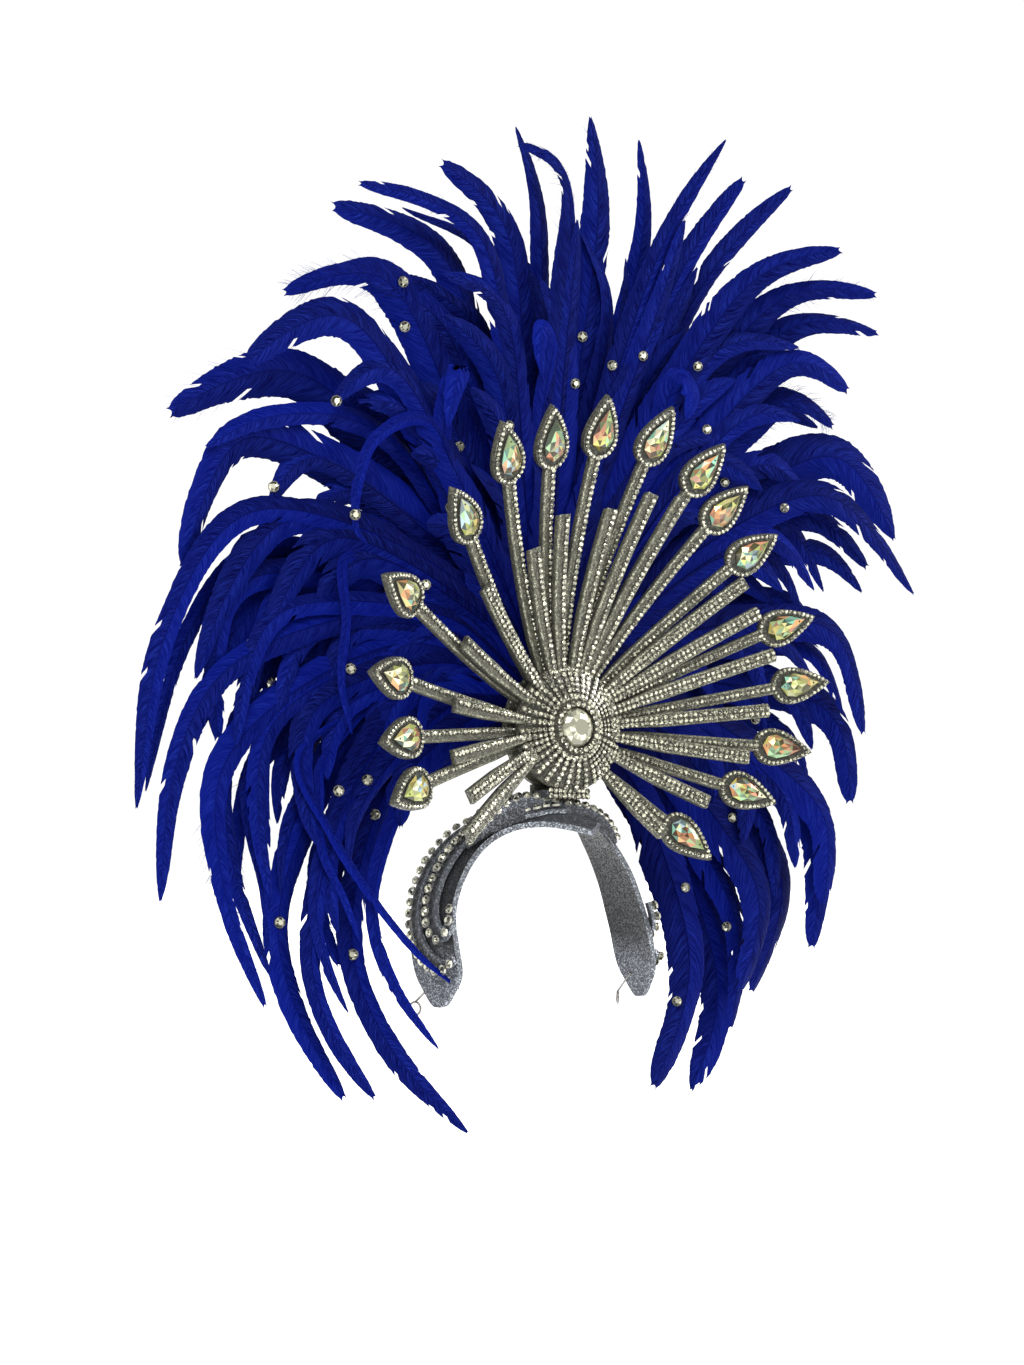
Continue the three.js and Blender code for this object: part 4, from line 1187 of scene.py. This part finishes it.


# line: points along the shaft, one every pitch; tone: how light the feather is, its dye at random together
# with painted sheen
def addFeather(pile, line, width, rng, tone=0.7, fray=0.0, slits=3, roll=0.0, rollTip=0.0, hairs=0,
               shape="pointed"):
    count = len(line) - 1
    noise = np.random.RandomState(rng.randrange(10 ** 6))
    ahead, across, front = featherFrame(line, roll, rollTip)
    share = np.linspace(0, 1, count + 1)
    steps = np.arange(count + 1, dtype=float)
    past, pitch = vaneSet["past"], vaneSet["pitch"]
    longSteps = np.arange(count + 1 + past, dtype=float)
    tail = line[-1] + ahead[-1] * pitch * np.arange(1, past + 1)[:, None]
    longLine = np.vstack([line, tail])
    longAhead, longAcross, longFront = (np.vstack([rows, np.repeat(rows[-1:], past, axis=0)])
                                        for rows in (ahead, across, front))

    def at(table, s):
        return np.stack([np.interp(s, longSteps, table[:, k]) for k in range(3)], axis=-1)

    # point s steps along the feather, w across and rise out of it
    def place(s, w, rise):
        return at(longLine, s) + at(longAcross, s) * w[..., None] + at(longFront, s) * rise[..., None]

    outline = np.array(vaneShape[shape])
    columns = np.array(vaneSet["columns"])
    wide = len(columns)
    paintedLitSide, phase = noise.choice((-1, 1)), noise.uniform(0, 6)
    for side in (-1, 1):
        half = width / 2 * np.interp(share, outline[:, 0], outline[:, 1]) * noise.uniform(0.85, 1.1)
        forward = np.minimum(vaneSet["sweep"] * half / pitch, (count - steps) * 0.8 + 1.2)
        lean = np.zeros(count + 1)
        slitAt = {}
        for _ in range(slits):
            k = int(noise.uniform(0.3, 0.95) * count)
            slitAt[k] = 2 + noise.randint(0, 2)
            apart = (steps - k - 0.5) * pitch / vaneSet["slitLength"]
            lean += np.sign(apart) * np.exp(-np.abs(apart)) * noise.uniform(0.2, 1.6) * vaneSet["slitOpen"]
        ragged = np.clip((share - 0.7) / 0.12, 0, 1) * fray
        end = np.clip(steps + forward + lean / pitch, 0, count + past)
        endHalf = np.interp(np.clip(end / count, 0, 1), share, half)
        endHalf = endHalf * (1 + noise.normal(0, vaneSet["jag"], count + 1)) * (1 - 0.45 * ragged)
        endHalf *= 1 + 0.05 * np.sin(share * 23 + phase)
        s = steps[:, None] + (end - steps)[:, None] * columns ** 1.3
        w = endHalf[:, None] * columns ** 0.8
        drop = noise.normal(0, 0.1, (count + 1, 1)) * columns
        drop -= vaneSet["camber"] * endHalf[:, None] * columns ** 2
        faces = []
        for i in range(count):
            for c in range(slitAt.get(i, wide - 1)):
                a = i * wide + c
                quad = (a, a + 1, a + 1 + wide, a + wide)
                faces.append(quad if side > 0 else quad[::-1])
        # painted light and shade: one half of the vane lighter than the other; soft waves along the length
        # too
        light = tone + side * paintedLitSide * vaneSet["halves"] * np.cos(1.4 * share)
        light += 0.12 * np.sin(9 * share + phase)
        tones = np.zeros((count + 1, wide, 3))
        tones[..., 0] = np.clip(light, 0, 1)[:, None] * (0.75 + 0.25 * columns)
        # strength of the painted sheen, growing towards the tip
        tones[..., 1] = (0.3 + 0.7 * share)[:, None]
        tones[..., 2] = columns
        uvs = np.zeros((count + 1, wide, 2))
        uvs[..., 0] = (steps * pitch / 10)[:, None] + tone * 40
        uvs[..., 1] = side * columns
        pile.add(place(s, side * w, drop), faces, 0, tones.reshape(-1, 3), uvs.reshape(-1, 2))
        # loose barbs that stand off the edge, many where the end is frayed; they are painted lighter than
        # the vane, a painted highlight
        for n in range(hairs + int(vaneSet["frayHairs"] * fray)):
            frayed = n >= hairs
            first = noise.uniform(*((0.7, 0.99) if frayed else (0.15, 0.97)))
            reach = noise.uniform(*((0.7, 1.5) if frayed else (0.95, 1.35))) * np.interp(first, share, half)
            t = np.linspace(0, 1, 5)
            s = first * count + np.interp(first, share, forward) * t ** 1.2 * noise.uniform(0.7, 1.6)
            drop = 0.35 - vaneSet["camber"] * reach * t ** 2 + noise.normal(0, 1.2) * t ** 2
            middle = place(s, side * (0.3 + reach * t ** 0.85), drop)
            broad = at(longAhead, s) * (vaneSet["hair"] * (1.15 - t))[:, None]
            strand = np.stack([middle - broad, middle + broad], axis=1)
            pile.add(strand, [(2 * k, 2 * k + 1, 2 * k + 3, 2 * k + 2) for k in range(4)], 0,
                     (min(1, tone + 0.25), noise.uniform(0.3, 1), 1))
    every = list(range(0, count, 4)) + [count]
    shaft = []
    for i in every:
        radius = vaneSet["shaft"] * (1 - 0.85 * share[i]) * min(1.0, width / 24)
        shaft += [line[i] + (across[i] * math.cos(a) + front[i] * math.sin(a)) * radius
                  for a in around(3) + math.pi / 2]
    pile.add(shaft, tubeFaces(len(every), 3, False), 0, (tone * 0.5, 0.2, 0))


# painted sheen: a lighter range of tones on the side than on top
def sheen(angle, rng):
    return rng.uniform(*sideSet["sideSheen" if angle < sideSet["sheenUpTo"] else "topSheen"])


# Shorter feathers between the long ones, down to a dense middle
def addFillFeathers(pile, layer, rng):
    for reachShare, widthShare in fanSet["fills"]:
        for i in range(layerNames.index(layer), len(featherRows) - 1, 3):
            if abs(featherRows[i][0]) > fanSet["fillUpTo"]:
                continue
            mix = rng.uniform(0.2, 0.8)
            root, knee, kneeReach, tip, tipReach = (a + (b - a) * mix for a, b in
                                                    zip(featherRows[i][:5], featherRows[i + 1]))
            knee = root + (knee - root) * (0.4 + 0.6 * reachShare)
            tip = root + (tip - root) * (0.35 + 0.6 * reachShare) + rng.uniform(-4, 4)
            line = fanLine(root, knee, kneeReach * reachShare, tip,
                           tipReach * reachShare * rng.uniform(0.94, 1.04), layer, rng.uniform(-1.5, 1.5))
            narrow = sideSet["narrow"] if root < sideSet["narrowUpTo"] and reachShare > 0.6 else 1
            addFeather(pile, line, fanSet["fillWidth"] * widthShare * narrow, rng,
                       fanSet["fillTone"] * sheen(root, rng), 0, 2,
                       rng.uniform(-14, 14), rng.uniform(-20, 20))


def makeFeathers():
    made = []
    for index, layer in enumerate(layerNames):
        rng = random.Random(20 + index)
        pile = Pile()
        for i in range(index, len(featherRows), 3):
            root, knee, kneeReach, tip, tipReach, width, fray = featherRows[i]
            line = fanLine(root, knee, kneeReach, tip, tipReach, layer, 0.7 * (i // 3 % 3))
            addFeather(pile, line, width * fanSet["width"], rng, sheen(root, rng), fray, 3,
                       rng.uniform(-12, 12), rng.uniform(-22, 22), 12,
                       "pointed" if i in pointedRows else "blunt")
        addFillFeathers(pile, layer, rng)
        made.append(makePiece(f"{layer}Feathers", pile, [plumeDyeAndSheen], [f"feathers_{layer}"], True))
        print(layer, "feathers made:", len(pile.faces), "faces")
    return made


feathersMade = makeFeathers()

# Stray feathers and curled tips: angle, reach and how far in front of the fan, then width and tone
looseFeathers = [
    ([(-24, 120, 0), (-34, 215, -2), (-41, 251, -2), (-52, 287, -3), (-60, 306, -3)], 19, 0.75),
    ([(-28, 120, 4), (-24, 200, 10), (-20, 240, 18), (-18, 248, 22), (-20, 232, 25), (-22, 214, 26)],
     19, 1),
    ([(-4, 120, 4), (-1, 225, 10), (-1, 268, 16), (-3, 274, 20), (-3, 259, 22), (-2, 243, 22)], 15, 0.95),
    ([(18, 120, 4), (24, 236, 10), (22, 270, 16), (23, 279, 20), (26, 275, 24), (27, 258, 26)], 27, 1),
    ([(-20, 130, 6), (-26, 221, 14), (-37, 227, 22), (-44, 212, 26), (-50, 190, 26), (-50, 178, 24)],
     9, 0.85),
    ([(-45, 130, 6), (-56, 184, 12), (-67, 162, 22), (-80, 154, 24), (-93, 143, 22)], 8, 1),
    ([(-80, 120, 4), (-100, 170, 10), (-105, 174, 12), (-116, 186, 14), (-126, 188, 14), (-134, 197, 12)],
     7, 0.95),
    ([(-84, 130, 6), (-98, 186, 14), (-113, 175, 20), (-131, 170, 22), (-147, 175, 20), (-159, 182, 18)],
     7.5, 0.9),
    ([(-86, 190, 0), (-100, 229, 0), (-116, 238, 0), (-125, 256, 0)], 6, 0.6),
    ([(-10, 150, -4), (-7, 250, -6), (-13, 318, -8), (-24, 350, -8)], 10, 0.35),
]


# how far back the fan's middle surface starts, and how far forward it droops at a reach
middleSet = {
    "back": 30,
    "droop": 60,
    "reach": 330,
}


# Point of that surface, brought forward towards where it is looked at from
def onFan(angle, reach, forward=0.0):
    place = polar(angle, reach, middleSet["back"] - middleSet["droop"] * (reach / middleSet["reach"]) ** 2)
    return place + (eye - place).normalized() * forward


def makeLooseFeathers():
    rng = random.Random(31)
    pile = Pile()
    for path, width, tone in looseFeathers:
        line = smoothLine([onFan(*place) for place in path], vaneSet["pitch"])
        addFeather(pile, line, width, rng, tone, 0, 1, rng.uniform(-10, 10), rng.uniform(-15, 15), 3)
    return makePiece("looseFeathers", pile, [plumeDyeAndSheen], (), True)


feathersMade.append(makeLooseFeathers())
print("loose feathers made")

# Round stones glued on the feathers: angle and reach
featherStones = [
    (4, 273), (10.5, 262), (15, 277), (24, 292), (4.5, 242), (31, 262), (39.5, 245), (50, 272),
    (-25.5, 308), (-26.5, 282), (-41, 262), (-57, 254), (-8.5, 208), (-20.5, 199), (-26, 163),
    (-48.5, 198), (-43, 128), (-77, 149), (-84.5, 208), (-105.5, 136), (-106, 160), (-115, 138),
    (-121.5, 238), (-134.5, 207), (85, 195), (108, 181), (129.5, 167), (130, 209), (149, 216),
]
featherStoneSize = 3.2


def makeFeatherStones():
    rng = random.Random(32)
    points, faces = [], []
    for piece in feathersMade:
        start = len(points)
        points += [vertex.co / mm for vertex in piece.data.vertices]
        faces += [[start + i for i in face.vertices] for face in piece.data.polygons]
    tree = BVHTree.FromPolygons(points, faces)
    stones = []
    for angle, reach in featherStones:
        sight = (onFan(angle, reach) - eye).normalized()
        place, normal, _, _ = tree.ray_cast(eye, sight)
        if place is None:
            continue
        normal = normal if normal.dot(sight) < 0 else -normal
        out = (normal - sight).normalized()
        across = out.cross(Vector((0, 0, 1))).normalized()
        stones.append((place - sight * 0.3, across, out.cross(across), out, featherStoneSize))
    pile = Pile()
    addStones(pile, stones, rng)
    print("stones on the feathers:", len(stones))
    makePiece("featherStones", pile, [silverCup, clearStone])


makeFeatherStones()

# Floor and light, in metres and watts
stageSet = {
    "floorZ": -0.42,
    "floorSize": 30,
    "floorGlow": 1.0,
    "world": 0.75,
    "backdrop": 1.1,
    "lamps": {      # place, size and power
        "key": ((-0.9, -1.3, 1.1), 0.8, 32),
        "rim": ((1.1, -0.7, 0.7), 0.6, 14),
    },
}


# Glows as white as the backdrop where the camera sees it, without lighting the feathers more
def makeFloor():
    mesh = bpy.data.meshes.new("floor")
    s, z = stageSet["floorSize"], stageSet["floorZ"]
    mesh.from_pydata([(-s, -s, z), (s, -s, z), (s, s, z), (-s, s, z)], [], [(0, 1, 2, 3)])
    material, tree, shader = newMaterial("paleFloor")
    seen = addNode(tree, "LightPath").outputs["Is Camera Ray"]
    glow = addMath(tree, "MULTIPLY", seen, stageSet["backdrop"] - stageSet["floorGlow"])
    feed(tree, shader, {
        "Base Color": (0.9, 0.9, 0.9, 1),
        "Roughness": 0.9,
        "Emission Color": (1, 1, 1, 1),
        "Emission Strength": addMath(tree, "ADD", glow, stageSet["floorGlow"]),
    })
    mesh.materials.append(material)
    floor = addObject("floor", mesh)


def makeLight():
    world = bpy.data.worlds.new("studio")
    world.use_nodes = True
    tree = world.node_tree
    white = (1, 1, 1, 1)
    light = feed(tree, tree.nodes["Background"], {"Color": white, "Strength": stageSet["world"]})
    # what shows behind is brighter than what lights
    backdrop = addNode(tree, "Background", {"Color": white, "Strength": stageSet["backdrop"]})
    path = addNode(tree, "LightPath")
    mix = addNode(tree, "MixShader", {
        0: path.outputs["Is Camera Ray"],
        1: light.outputs[0],
        2: backdrop.outputs[0],
    })
    tree.links.new(mix.outputs[0], tree.nodes["World Output"].inputs["Surface"])
    bpy.context.scene.world = world
    bpy.context.scene.view_settings.view_transform = "Standard"     # keeps the dye as deep as it is
    for name, (place, size, power) in stageSet["lamps"].items():
        data = bpy.data.lights.new(name, "AREA")
        data.energy = power
        data.size = size
        lamp = addObject(name, data)
        lamp.location = place
        lamp.rotation_euler = (Vector((0, 0, 0.1)) - Vector(place)).to_track_quat("-Z", "Y").to_euler()


makeFloor()
makeLight()
print("floor and light made")
